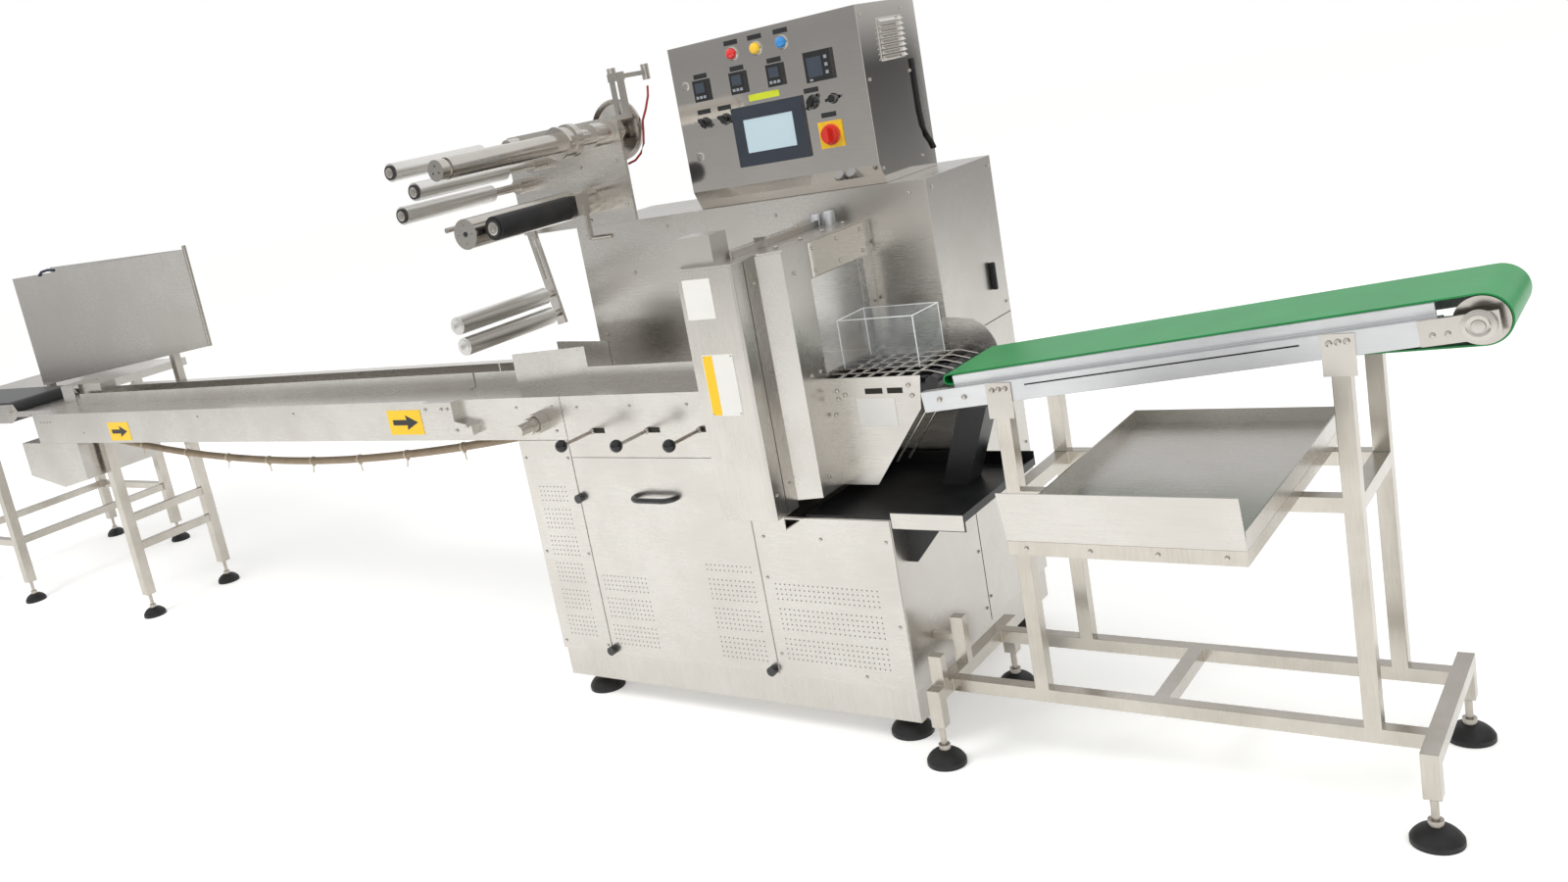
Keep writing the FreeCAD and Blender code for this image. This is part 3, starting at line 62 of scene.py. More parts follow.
def at(x, y, z):
    return Vector((cabinet_left + x * MM, front_face + y * MM, z * MM))


def low(node):
    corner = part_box(node)[0]
    return ((corner.x - cabinet_left) / MM, (corner.y - front_face) / MM, corner.z / MM)


def high(node):
    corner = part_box(node)[1]
    return ((corner.x - cabinet_left) / MM, (corner.y - front_face) / MM, corner.z / MM)


print("cabinet, right far top corner:", [round(size) for size in high("cabinet_body")])

# %% [markdown]
# ## The camera
# The machine is seen from its front right at head height, with the camera rolled by some twelve
# degrees. The lens is moderately wide, so the near outfeed is drawn large and the infeed runs far off.

# %% Place the camera
camera_data = bpy.data.cameras.new("view_camera")
camera_data.sensor_width = 36
camera_data.lens = 31.0
camera_data.shift_x = 0.122
camera_data.shift_y = -0.0179
camera = bpy.data.objects.new("view_camera", camera_data)
bpy.context.scene.collection.objects.link(camera)
camera.location = (3.3740, -2.7806, 1.5375)
camera.rotation_euler = [math.radians(angle) for angle in (77.810, 11.645, 39.480)]
bpy.context.scene.camera = camera
bpy.context.scene.view_settings.view_transform = "Standard"
print("camera stands", round(camera.location.length, 2), "m from the middle of the floor plan")

# %% [markdown]
# ## Small helpers for materials
# A material is a few nodes. One function adds a node with its settings and links, and one turns a
# sRGB hex value into the linear colour that the shader needs.

# %% Add a node, read a colour
def linear(hex_value):
    channels = [int(hex_value[i:i + 2], 16) / 255 for i in (1, 3, 5)]
    bent = [c / 12.92 if c <= 0.04045 else ((c + 0.055) / 1.055) ** 2.4 for c in channels]
    return (*bent, 1.0)


def add(tree, kind, settings=None, **sockets):
    """Adds one node; a socket takes a value or another node's output, and n2 means input number 2."""
    piece = tree.nodes.new(kind)
    for name, setting in (settings or {}).items():
        setattr(piece, name, setting)
    for name, given in sockets.items():
        place = int(name[1:]) if name[1:].isdigit() and name[0] == "n" else name.replace("_", " ")
        socket = piece.inputs[place]
        if isinstance(given, bpy.types.NodeSocket):
            tree.links.new(given, socket)
        else:
            socket.default_value = given
    return piece


def new_material(name):
    made = bpy.data.materials.new(name)
    made.use_nodes = True
    made.node_tree.nodes.clear()
    return made, made.node_tree


def ramp(tree, source, stops):
    """A colour ramp from a list of (place, colour) stops."""
    piece = add(tree, "ShaderNodeValToRGB", Fac=source)
    while len(piece.color_ramp.elements) < len(stops):
        piece.color_ramp.elements.new(0.5)
    for element, (place, colour) in zip(piece.color_ramp.elements, stops):
        element.position = place
        element.color = colour
    return piece.outputs["Color"]


def grey(level):
    return (level, level, level, 1.0)


def close(tree, shader):
    tree.nodes.new("ShaderNodeOutputMaterial")
    tree.links.new(shader.outputs[0], tree.nodes["Material Output"].inputs["Surface"])


print("grey #808080 is", round(linear("#808080")[0], 3), "in linear light")

# %% [markdown]
# ## Stainless steel
# Nearly all of the machine is stainless steel. Brushed sheet is ground with a belt, which leaves fine
# lines along the sheet and so a soft streaked gloss. Polished sheet is buffed to a mirror. Tube and
# turned parts carry short marks round them. One recipe serves: cloudy handling marks over streaks
# that stretch along one axis, both driving colour and roughness.

# %% The recipe for ground metal
STREAK_STRETCH = 40


def ground_metal(name, colour, dark, rough, streak_mm, along, bump=0.05, cloud_mm=260):
    made, tree = new_material(name)
    place = add(tree, "ShaderNodeTexCoord").outputs["Object"]
    stretch = [1 / (streak_mm * MM)] * 3
    stretch[along] /= STREAK_STRETCH
    lines = add(tree, "ShaderNodeMapping", Vector=place, Scale=stretch)
    streaks = add(tree, "ShaderNodeTexNoise", Vector=lines.outputs["Vector"], Scale=1.0, Detail=3.0)
    clouds = add(tree, "ShaderNodeTexNoise", Vector=place, Scale=1 / (cloud_mm * MM), Detail=4.0,
                 Roughness=0.6)
    blend = add(tree, "ShaderNodeMath", {"operation": "MULTIPLY_ADD"}, n0=streaks.outputs["Fac"], n1=0.35,
                n2=0.0)
    level = add(tree, "ShaderNodeMath", {"operation": "MULTIPLY_ADD"}, n0=clouds.outputs["Fac"], n1=0.65,
                n2=blend.outputs[0])
    tone = ramp(tree, level.outputs[0], [(0.34, linear(dark)), (0.66, linear(colour))])
    shine = ramp(tree, level.outputs[0], [(0.32, grey(rough * 1.2)), (0.66, grey(rough * 0.88))])
    relief = add(tree, "ShaderNodeBump", Strength=bump, Distance=0.0004, Height=streaks.outputs["Fac"])
    shader = add(tree, "ShaderNodeBsdfPrincipled", Base_Color=tone, Metallic=1.0, Roughness=shine,
                 Normal=relief.outputs["Normal"])
    close(tree, shader)
    return made


# belt-ground sheet: a soft, slightly warm grey with fine level lines
brushed_sheet = ground_metal("brushed_stainless_sheet", "#CFCCC7", "#C3BFB9", 0.27, 1.6, 0)
# the same sheet ground up and down
brushed_upright = ground_metal("brushed_stainless_upright", "#CDC9C4", "#C0BCB5", 0.25, 1.6, 2)
# buffed sheet of the operator console: near mirror with a warm cast
mirror_sheet = ground_metal("buffed_stainless", "#D9D5D0", "#CFCBC5", 0.06, 1.2, 0, bump=0.015)
# drawn square tube with mill finish
tube_steel = ground_metal("drawn_stainless_tube", "#C9C4BC", "#B3ADA3", 0.23, 1.4, 2, cloud_mm=180)
# turned and ground bar for shafts and rollers, lines run round the bar
turned_steel = ground_metal("turned_steel", "#C9C5BF", "#BAB5AE", 0.20, 0.9, 1, bump=0.02, cloud_mm=300)
# drawn aluminium is paler and bluer than steel, and softer in gloss
drawn_aluminium = ground_metal("drawn_aluminium", "#D6D7D8", "#C9CACC", 0.36, 1.4, 0)
# roller tube: anodised, so pale, even and satin
roller_aluminium = ground_metal("anodised_roller_tube", "#E2E1DE", "#D8D6D2", 0.33, 1.1, 1, bump=0.01,
                                cloud_mm=400)
print("ground metals:", len(bpy.data.materials))

# %% [markdown]
# ## Plastics, rubber, belt and clear sheet
# Moulded plastic has a fine grain that breaks up its gloss. Rubber is duller and a little dusty. The
# conveyor belt is woven polyester with a green vinyl top, so a faint weave shows through the coat.

# %% Moulded and coated finishes
def moulded(name, colour, rough, grain_mm=0.9, bump=0.15, coat=0.0, dust="#6E6A64", dust_share=0.08):
    made, tree = new_material(name)
    place = add(tree, "ShaderNodeTexCoord").outputs["Object"]
    grain = add(tree, "ShaderNodeTexNoise", Vector=place, Scale=1 / (grain_mm * MM), Detail=2.0)
    patches = add(tree, "ShaderNodeTexNoise", Vector=place, Scale=14.0, Detail=5.0, Roughness=0.7)
    haze = ramp(tree, patches.outputs["Fac"], [(0.45, grey(0.0)), (0.8, grey(dust_share))])
    tone = add(tree, "ShaderNodeMix", {"data_type": "RGBA"}, n0=haze, n6=linear(colour), n7=linear(dust))
    gloss = ramp(tree, patches.outputs["Fac"], [(0.3, grey(rough * 0.85)), (0.75, grey(rough * 1.15))])
    relief = add(tree, "ShaderNodeBump", Strength=bump, Distance=0.0002, Height=grain.outputs["Fac"])
    shader = add(tree, "ShaderNodeBsdfPrincipled", Base_Color=tone.outputs[2], Roughness=gloss,
                 Normal=relief.outputs["Normal"], Coat_Weight=coat)
    close(tree, shader)
    return made


black_rubber = moulded("nitrile_rubber_black", "#1A1A1B", 0.62, dust_share=0.16)
black_plastic = moulded("moulded_abs_black", "#1C1D1F", 0.40, dust_share=0.05)
bezel_plastic = moulded("moulded_bezel_slate", "#2A303B", 0.34, bump=0.08, dust_share=0.03)
phenolic_black = moulded("phenolic_black_polished", "#141416", 0.16, bump=0.03, coat=0.4)
red_plastic = moulded("moulded_abs_red", "#D0271B", 0.28, dust_share=0.03, coat=0.2)
yellow_plate = moulded("enamelled_yellow_plate", "#F2C417", 0.35, dust_share=0.04, bump=0.05)
black_paint = moulded("powder_coat_black", "#17181A", 0.38, grain_mm=2.2, bump=0.3, dust_share=0.10)
white_plate = moulded("anodised_plate_blank", "#E4E2DD", 0.42, bump=0.04, dust_share=0.05)
hose_plastic = moulded("braided_hose_sleeve_tan", "#A5927A", 0.55, grain_mm=1.6, bump=0.5,
                       dust="#5B4E3F", dust_share=0.45)
tie_plastic = moulded("nylon_tie_natural", "#CFC3AE", 0.45, dust_share=0.15)
strap_leather = moulded("brake_strap_red_brown", "#A12A1F", 0.60, grain_mm=1.4, bump=0.5)
dark_slot = moulded("shadowed_hole", "#26241F", 0.80, dust_share=0.02)
screen_glass = moulded("display_glass_pale", "#BFD3DC", 0.12, bump=0.0, coat=0.5, dust_share=0.02)


def woven_belt(name, top, thread, thread_mm):
    """Vinyl over a woven carrier: threads both ways lift the coat a little."""
    made, tree = new_material(name)
    place = add(tree, "ShaderNodeTexCoord").outputs["Object"]
    step = 1 / (thread_mm * MM)
    along = add(tree, "ShaderNodeTexWave", {"bands_direction": "X"}, Vector=place, Scale=step / 20,
                Distortion=0.3)
    across = add(tree, "ShaderNodeTexWave", {"bands_direction": "Y"}, Vector=place, Scale=step / 20,
                 Distortion=0.3)
    weave = add(tree, "ShaderNodeMath", {"operation": "MULTIPLY"}, n0=along.outputs["Fac"],
                n1=across.outputs["Fac"])
    scuffs = add(tree, "ShaderNodeTexNoise", Vector=place, Scale=9.0, Detail=6.0, Roughness=0.65)
    tone = ramp(tree, scuffs.outputs["Fac"], [(0.3, linear(thread)), (0.7, linear(top))])
    relief = add(tree, "ShaderNodeBump", Strength=0.12, Distance=0.0003, Height=weave.outputs[0])
    shader = add(tree, "ShaderNodeBsdfPrincipled", Base_Color=tone, Roughness=0.36,
                 Normal=relief.outputs["Normal"])
    close(tree, shader)
    return made


# threads of 0.4 mm are drawn at 2 mm, as fine as the picture can carry
green_belt = woven_belt("vinyl_belt_green", "#0A9148", "#07843F", 2.0)
black_belt = woven_belt("vinyl_belt_black", "#1D1E20", "#151617", 2.0)

# cast sheet 3 mm thick: clear, with a bright gloss and faint smears where it was wiped
clear_sheet, tree = new_material("cast_acrylic_clear")
place = add(tree, "ShaderNodeTexCoord").outputs["Object"]
smears = add(tree, "ShaderNodeTexNoise", Vector=place, Scale=18.0, Detail=6.0, Roughness=0.7)
haze = ramp(tree, smears.outputs["Fac"], [(0.45, grey(0.07)), (0.8, grey(0.16))])
shader = add(tree, "ShaderNodeBsdfPrincipled", Base_Color=linear("#F2F6F6"), Roughness=0.04, IOR=1.49,
             Alpha=haze)
close(tree, shader)
# painted highlight: an opaque near-white finish stands for the light that the polished edges of the clear
# sheet catch
edge_painted_highlight = moulded("acrylic_edge_painted_highlight", "#F0F4F4", 0.15, bump=0.0, coat=0.5, dust_share=0.02)
print("materials so far:", len(bpy.data.materials))

# %% [markdown]
# ## Two finishes in one casting
# A levelling foot is a rubber bell with a steel stem, and a hand lever is a steel bar with a plastic
# ball. Each is one CAD node, so its material changes at a plane: object coordinates are compared with
# the height or depth where the real pieces meet.

# %% A material that changes at a plane
def split_finish(name, axis, border, below, above):
    """below and above are (colour, roughness, metallic) on the two sides of the border, in metres."""
    made, tree = new_material(name)
    place = add(tree, "ShaderNodeTexCoord").outputs["Object"]
    parts = add(tree, "ShaderNodeSeparateXYZ", Vector=place)
    side = add(tree, "ShaderNodeMath", {"operation": "GREATER_THAN"}, n0=parts.outputs[axis], n1=border)
    clouds = add(tree, "ShaderNodeTexNoise", Vector=place, Scale=40.0, Detail=4.0)
    shaders = []
    for colour, rough, metallic in (below, above):
        shade = (*[channel * 0.75 for channel in linear(colour)[:3]], 1.0)
        tone = ramp(tree, clouds.outputs["Fac"], [(0.2, shade), (0.7, linear(colour))])
        shine = ramp(tree, clouds.outputs["Fac"], [(0.3, grey(rough * 1.2)), (0.7, grey(rough * 0.85))])
        shaders.append(add(tree, "ShaderNodeBsdfPrincipled", Base_Color=tone, Roughness=shine,
                           Metallic=metallic))
    mixed = add(tree, "ShaderNodeMixShader", n0=side.outputs[0], n1=shaders[0].outputs[0],
                n2=shaders[1].outputs[0])
    close(tree, mixed)
    return made


AXIS_Y, AXIS_Z = 1, 2
STEEL = ("#BDB6AD", 0.26, 1.0)
BELL_HEIGHT, LEVER_NECK, SWITCH_PLATE_TOP = 34.5, -116, 1440
foot_finish = split_finish("rubber_bell_steel_stem", AXIS_Z, at(0, 0, BELL_HEIGHT).z, ("#161617", 0.5, 0.0),
                           STEEL)
lever_finish = split_finish("steel_bar_phenolic_ball", AXIS_Y, at(0, LEVER_NECK, 0).y,
                            ("#111113", 0.18, 0.0), STEEL)
meter_finish = split_finish("yellow_plate_black_cases", AXIS_Z, at(0, 0, SWITCH_PLATE_TOP).z,
                            ("#F0C011", 0.35, 0.0), ("#18191B", 0.35, 0.0))
print("split finishes:", foot_finish.name, lever_finish.name, meter_finish.name)

# %% [markdown]
# ## Every CAD node gets its finish
# The table reads like a parts list. Nodes that a finer piece will replace are left out of it.

# %% Give the frame its materials
FINISHES = {
    brushed_sheet: ["cabinet_body", "rear_housing", "front_sheets", "deck_plate", "infeed_bed", "head_box",
                    "head_lid", "catch_tray", "discharge_frame", "hopper_front_plate", "hopper_back_wall",
                    "product_guides", "loading_bridge", "feeder_table", "drive_box", "film_plate",
                    "infeed_sensor_box"],
    brushed_upright: ["head_column", "base_plinth"],
    mirror_sheet: ["console_box"],
    tube_steel: ["outfeed_stand", "infeed_legs", "feeder_frame", "tray_frame", "hopper_posts"],
    turned_steel: ["reel_shaft", "reel_chuck", "brake_disc", "brake_bracket", "plate_mounts", "dancer_arm",
                   "feed_roller", "pinch_bracket", "crank_hub", "outfeed_drum", "rail_plates"],
    roller_aluminium: ["dancer_roller_upper", "dancer_roller_lower", "guide_roller_high",
                       "guide_roller_middle", "guide_roller_low"],
    drawn_aluminium: ["outfeed_frame"],
    black_rubber: ["pinch_roller"],
    black_belt: ["feeder_belt", "discharge_belts"],
    bezel_plastic: ["screen_bezel"],
    phenolic_black: ["door_hardware"],
    black_paint: ["catch_plate"],
    red_plastic: ["main_switch"],
    green_belt: ["outfeed_belt"],
    clear_sheet: ["clear_covers"],
    foot_finish: ["levelling_feet"],
    lever_finish: ["hand_lever_1", "hand_lever_2", "hand_lever_3"],
    meter_finish: ["console_meters"],
}


def soften_edges(piece, width_mm=1.2):
    """Folded and ground edges catch light: loose triangles are welded and their sharp edges bevelled."""
    weld = piece.modifiers.new("weld", "WELD")
    weld.merge_threshold = 0.00005
    bevel = piece.modifiers.new("worn_edge", "BEVEL")
    bevel.width = width_mm * MM
    bevel.segments = 2
    bevel.limit_method = "ANGLE"
    bevel.angle_limit = math.radians(40)
    bevel.harden_normals = True


SOFT_EDGED = ["cabinet_body", "rear_housing", "head_box", "head_column", "base_plinth", "console_box",
              "outfeed_stand", "infeed_legs", "feeder_frame", "tray_frame", "outfeed_frame", "rail_plates",
              "drive_box", "infeed_bed"]
for finish, names in FINISHES.items():
    for name in names:
        node = nodes[name]
        node.data.materials.clear()
        node.data.materials.append(finish)
for name in SOFT_EDGED:
    soften_edges(nodes[name])
print("finished nodes:", sum(len(names) for names in FINISHES.values()))

# %% [markdown]
# ## The corrugated cable hose
# A plastic hose carries the cables of the infeed under its bed. It hangs from the leg to the cabinet in
# one long sag. Its line is a NURBS spline; Geometry Nodes walk along it and swell and shrink the tube
# at every ring, which is how such a hose is moulded.

# %% Route of the hose, from the leg to the cabinet
HOSE_DIAMETER = 25 * MM
HOSE_POINTS = (
    (-2302.7, 97, 742), (-2040, 112, 700), (-1750, 120, 668), (-1460, 124, 650), (-1170, 124, 643),
    (-880, 124, 650), (-590, 122, 670), (-290, 120, 699), (-2, 118, 738))
route_data = bpy.data.curves.new("hose_route", "CURVE")
route_data.dimensions = "3D"
route_data.resolution_u = 24
spline = route_data.splines.new("NURBS")
spline.points.add(len(HOSE_POINTS) - 1)
for point, place in zip(spline.points, HOSE_POINTS):
    point.co = (*at(*place), 1.0)
spline.order_u = 3
spline.use_endpoint_u = True
route = bpy.data.objects.new("hose_route", route_data)
bpy.context.scene.collection.objects.link(route)
bpy.context.view_layer.update()
line = bpy.data.meshes.new_from_object(route.evaluated_get(bpy.context.evaluated_depsgraph_get()))
hose_path = [vertex.co.copy() for vertex in line.vertices]
run = sum((b - a).length for a, b in zip(hose_path, hose_path[1:]))
print("hose line:", len(hose_path), "points,", round(run, 3), "m")


# %% Geometry Nodes for a corrugated tube
def finish_nodes(name, source_mesh, tree, inputs, body="machine"):
    """Runs a tree on a mesh, keeps the result as a plain mesh and lets it ride on a body."""
    carrier = bpy.data.objects.new(name, source_mesh)
    bpy.context.scene.collection.objects.link(carrier)
    modifier = carrier.modifiers.new("made_by_nodes", "NODES")
    modifier.node_group = tree
    sockets = {item.name: item.identifier for item in tree.interface.items_tree
               if item.item_type == "SOCKET" and item.in_out == "INPUT"}
    for label, setting in inputs.items():
        modifier[sockets[label]] = setting
    bpy.context.view_layer.update()
    seen = carrier.evaluated_get(bpy.context.evaluated_depsgraph_get())
    made = bpy.data.meshes.new_from_object(seen)
    made.name = name
    carrier.modifiers.remove(modifier)
    carrier.data = made
    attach(carrier, body)
    return carrier


def new_tree(name, inputs):
    tree = bpy.data.node_groups.new(name, "GeometryNodeTree")
    tree.interface.new_socket("Geometry", in_out="INPUT", socket_type="NodeSocketGeometry")
    for label, (kind, start) in inputs.items():
        socket = tree.interface.new_socket(label, in_out="INPUT", socket_type=kind)
        if start is not None:
            socket.default_value = start
    tree.interface.new_socket("Geometry", in_out="OUTPUT", socket_type="NodeSocketGeometry")
    return tree, add(tree, "NodeGroupInput"), tree.nodes.new("NodeGroupOutput")


tube_tree, given, result = new_tree("corrugated_tube", {
    "Half pitch": ("NodeSocketFloat", 0.003), "Ring radius": ("NodeSocketFloat", 0.0125),
    "Groove radius": ("NodeSocketFloat", 0.0105), "Material": ("NodeSocketMaterial", None)})
curve = add(tube_tree, "GeometryNodeMeshToCurve", Mesh=given.outputs["Geometry"])
evenly = add(tube_tree, "GeometryNodeResampleCurve", {"mode": "LENGTH"}, Curve=curve.outputs[0],
             Length=given.outputs["Half pitch"])
index = add(tube_tree, "GeometryNodeInputIndex")
odd = add(tube_tree, "ShaderNodeMath", {"operation": "MODULO"}, n0=index.outputs[0], n1=2.0)
swell = add(tube_tree, "ShaderNodeMix", {"data_type": "FLOAT"}, n0=odd.outputs[0],
            n2=given.outputs["Ring radius"],
            n3=given.outputs["Groove radius"])
ring = add(tube_tree, "GeometryNodeCurvePrimitiveCircle", Resolution=12, Radius=1.0)
sized = add(tube_tree, "GeometryNodeCurveToMesh", Curve=evenly.outputs[0], Profile_Curve=ring.outputs[0],
            Fill_Caps=True)
tube_tree.links.new(swell.outputs[0], sized.inputs["Scale"])
solid = add(tube_tree, "GeometryNodeRealizeInstances", Geometry=sized.outputs[0])
coloured = add(tube_tree, "GeometryNodeSetMaterial", Geometry=solid.outputs[0],
               Material=given.outputs["Material"])
tube_tree.links.new(coloured.outputs[0], result.inputs[0])

bpy.data.objects.remove(route)
hose = finish_nodes("corrugated_hose", line, tube_tree,
                    {"Half pitch": 0.0045, "Ring radius": HOSE_DIAMETER / 2, "Groove radius": 0.0102,
                     "Material": hose_plastic})
print("hose:", len(hose.data.polygons), "faces")

# %% [markdown]
# ## Ties and glands on the hose
# Nylon ties hold loose wires to the hose, each with its tail left hanging. Where the hose goes into the
# leg and the cabinet it passes a tapered gland, which keeps it from kinking at the edge.

# %% Turned and boxed pieces by code
def face_frame(direction):
    """Two directions that are square to the given one."""
    along = Vector(direction).normalized()
    helper = Vector((0, 0, 1)) if abs(along.z) < 0.9 else Vector((1, 0, 0))
    side = along.cross(helper).normalized()
    return along, side, along.cross(side).normalized()


def lathe_mesh(steps, origin, direction, sides=24):
    """Vertices and faces of a turned piece: steps are (radius, place along the axis) in millimetres."""
    along, side, up = face_frame(direction)
    vertices, faces = [], []
    for radius, place in steps:
        for k in range(sides):
            angle = 2 * math.pi * k / sides
            out = side * math.cos(angle) + up * math.sin(angle)
            vertices.append(origin + along * place * MM + out * radius * MM)
    for row in range(len(steps) - 1):
        for k in range(sides):
            n = (k + 1) % sides
            faces.append((row * sides + k, row * sides + n, (row + 1) * sides + n, (row + 1) * sides + k))
    faces.append(tuple(reversed(range(sides))))
    faces.append(tuple((len(steps) - 1) * sides + k for k in range(sides)))
    return vertices, faces


def block_mesh(corner, size):
    """Vertices and faces of a block between two places given from the cabinet, in millimetres."""
    x, y, z = corner
    a, b, c = size
    spots = [(x + a * i, y + b * j, z + c * k) for i in (0, 1) for j in (0, 1) for k in (0, 1)]
    faces = [(0, 1, 3, 2), (4, 6, 7, 5), (0, 4, 5, 1), (2, 3, 7, 6), (0, 2, 6, 4), (1, 5, 7, 3)]
    return [at(*spot) for spot in spots], faces


def prism_mesh(outline, thickness):
    """A flat outline of places, given in order, carried through a thickness vector in millimetres."""
    count = len(outline)
    push = Vector(thickness) * MM
    near = [at(*spot) for spot in outline]
    vertices = near + [spot + push for spot in near]
    faces = [tuple(range(count)), tuple(reversed(range(count, 2 * count)))]
    for k in range(count):
        n = (k + 1) % count
        faces.append((k, k + count, n + count, n))
    return vertices, faces


def build(name, parts, material, body="machine", bevel_mm=0.0, smooth=False):
    """Joins (vertices, faces) parts into one piece at the origin, turned outwards, on a body."""
    vertices, faces = [], []
    for part_vertices, part_faces in parts:
        base = len(vertices)
        vertices += [tuple(v) for v in part_vertices]
        faces += [tuple(base + index for index in face) for face in part_faces]
    mesh = bpy.data.meshes.new(name)
    mesh.from_pydata(vertices, [], faces)
    mesh.materials.append(material)
    shape = bmesh.new()
    shape.from_mesh(mesh)
    bmesh.ops.recalc_face_normals(shape, faces=shape.faces[:])
    shape.to_mesh(mesh)
    shape.free()
    if smooth:
        mesh.shade_smooth()
        mesh.set_sharp_from_angle(angle=math.radians(35))
    piece = bpy.data.objects.new(name, mesh)
    bpy.context.scene.collection.objects.link(piece)
    if bevel_mm:
        bevel = piece.modifiers.new("eased_edge", "BEVEL")
        bevel.width = bevel_mm * MM
        bevel.segments = 2
        bevel.limit_method = "ANGLE"
    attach(piece, body)
    return piece


# %% Eight ties, two glands
for index in range(8):
    share = 0.07 + 0.118 * index
    k = int(share * (len(hose_path) - 1))
    spot, onward = hose_path[k], (hose_path[k + 1] - hose_path[k]).normalized()
    band = lathe_mesh([(13.0, -3), (14.6, -3), (14.6, 3), (13.0, 3)], spot, onward, 16)
    lean = 6 if index % 2 else -7
    x, y, z = (spot.x - cabinet_left) / MM, (spot.y - front_face) / MM, spot.z / MM
    tail = prism_mesh([(x - 2, y - 2, z - 12), (x + 2, y - 2, z - 12), (x + 2 + lean, y - 5, z - 40),
                       (x - 2 + lean, y - 5, z - 40)], (0, 1.6, 0))
    head = block_mesh((x - 4, y - 5, z - 18), (8, 8, 7))
    build(f"hose_tie_{index + 1}", [band, tail, head], tie_plastic)
GLAND = [(13.2, 0), (19, 0), (19, 12), (16.5, 14), (14.0, 40), (13.2, 40)]
glands = [
    build("hose_gland_cabinet", [lathe_mesh(GLAND, hose_path[-1], hose_path[-4] - hose_path[-1], 20)],
          black_plastic, smooth=True),
    build("hose_gland_leg", [lathe_mesh(GLAND, hose_path[0], hose_path[3] - hose_path[0], 20)],
          black_plastic, smooth=True)]
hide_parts("cable_hose")

# %% [markdown]
# ## Screws, punched holes and other rows
# Sheet-metal machines are held by rows of button-head screws, and their vent panels are punched. Both
# are one small shape on many points, so one Geometry Nodes tree serves: it puts a domed head on every
# point and turns it to the direction that the point faces.

# %% A tree that sets a head on every point
def set_on_points(tree, given, result, shape):
    """Puts the shape on every point, turned to the point's facing, as one mesh in the given material."""
    facing = add(tree, "GeometryNodeInputNamedAttribute", {"data_type": "FLOAT_VECTOR"}, Name="facing")
    turn = add(tree, "FunctionNodeAlignRotationToVector", {"axis": "Z"}, Vector=facing.outputs[0])
    spread = add(tree, "GeometryNodeInstanceOnPoints", Points=given.outputs["Geometry"],
                 Instance=shape.outputs[0], Rotation=turn.outputs[0])
    solid = add(tree, "GeometryNodeRealizeInstances", Geometry=spread.outputs[0])
    coloured = add(tree, "GeometryNodeSetMaterial", Geometry=solid.outputs[0],
                   Material=given.outputs["Material"])
    tree.links.new(coloured.outputs[0], result.inputs[0])


heads_tree, given, result = new_tree("heads_on_points", {
    "Diameter": ("NodeSocketFloat", 0.01), "Height": ("NodeSocketFloat", 0.003),
    "Crown": ("NodeSocketFloat", 0.4), "Material": ("NodeSocketMaterial", None)})
radius = add(heads_tree, "ShaderNodeMath", {"operation": "MULTIPLY"}, n0=given.outputs["Diameter"], n1=0.5)
flange = add(heads_tree, "GeometryNodeMeshCylinder", Vertices=12, Radius=radius.outputs[0],
             Depth=given.outputs["Height"])
dome = add(heads_tree, "GeometryNodeMeshUVSphere", Segments=12, Rings=6, Radius=radius.outputs[0])
squat = add(heads_tree, "ShaderNodeCombineXYZ", n0=0.92, n1=0.92, n2=given.outputs["Crown"])
rise = add(heads_tree, "ShaderNodeCombineXYZ", n0=0.0, n1=0.0, n2=given.outputs["Height"])
crown = add(heads_tree, "GeometryNodeTransform", Geometry=dome.outputs[0], Scale=squat.outputs[0],
            Translation=rise.outputs[0])
head = add(heads_tree, "GeometryNodeJoinGeometry")
heads_tree.links.new(flange.outputs[0], head.inputs[0])
heads_tree.links.new(crown.outputs[0], head.inputs[0])
set_on_points(heads_tree, given, result, head)


def points_facing(name, places):
    """A mesh of loose points; places are ((x, y, z), facing), from the cabinet in millimetres."""
    mesh = bpy.data.meshes.new(name)
    mesh.from_pydata([at(*spot) for spot, _ in places], [], [])
    way = mesh.attributes.new("facing", "FLOAT_VECTOR", "POINT")
    for k, (_, direction) in enumerate(places):
        way.data[k].vector = direction
    return mesh


def heads(name, places, diameter_mm, height_mm, crown, material=turned_steel, body="machine"):
    """Round heads at places given as ((x, y, z), facing)."""
    return finish_nodes(name, points_facing(name, places), heads_tree, {
        "Diameter": diameter_mm * MM, "Height": height_mm * MM, "Crown": crown, "Material": material}, body)


FRONT, RIGHT, UP = (0, -1, 0), (1, 0, 0), (0, 0, 1)


def on_front(depth, spots):
    """Places on a face that looks to the front, from (x, z) pairs."""
    return [((x, depth, z), FRONT) for x, z in spots]


def on_right(across, spots):
    """Places on a face that looks right, from (y, z) pairs."""
    return [((across, y, z), RIGHT) for y, z in spots]


def middle(node):
    """x and z of the middle of a node that lies front to back."""
    corner, far = low(node), high(node)
    return (corner[0] + far[0]) / 2, (corner[2] + far[2]) / 2


print("head tree has", len(heads_tree.nodes), "nodes")

# %% [markdown]
# ## The operator console
# The console carries three lamps, four selector knobs, three timers, a process meter, a display and
# the main switch. Lamps and knobs are turned pieces, so each is a profile swept round its axis. Every
# control has an engraved strip above it, which is left blank here.

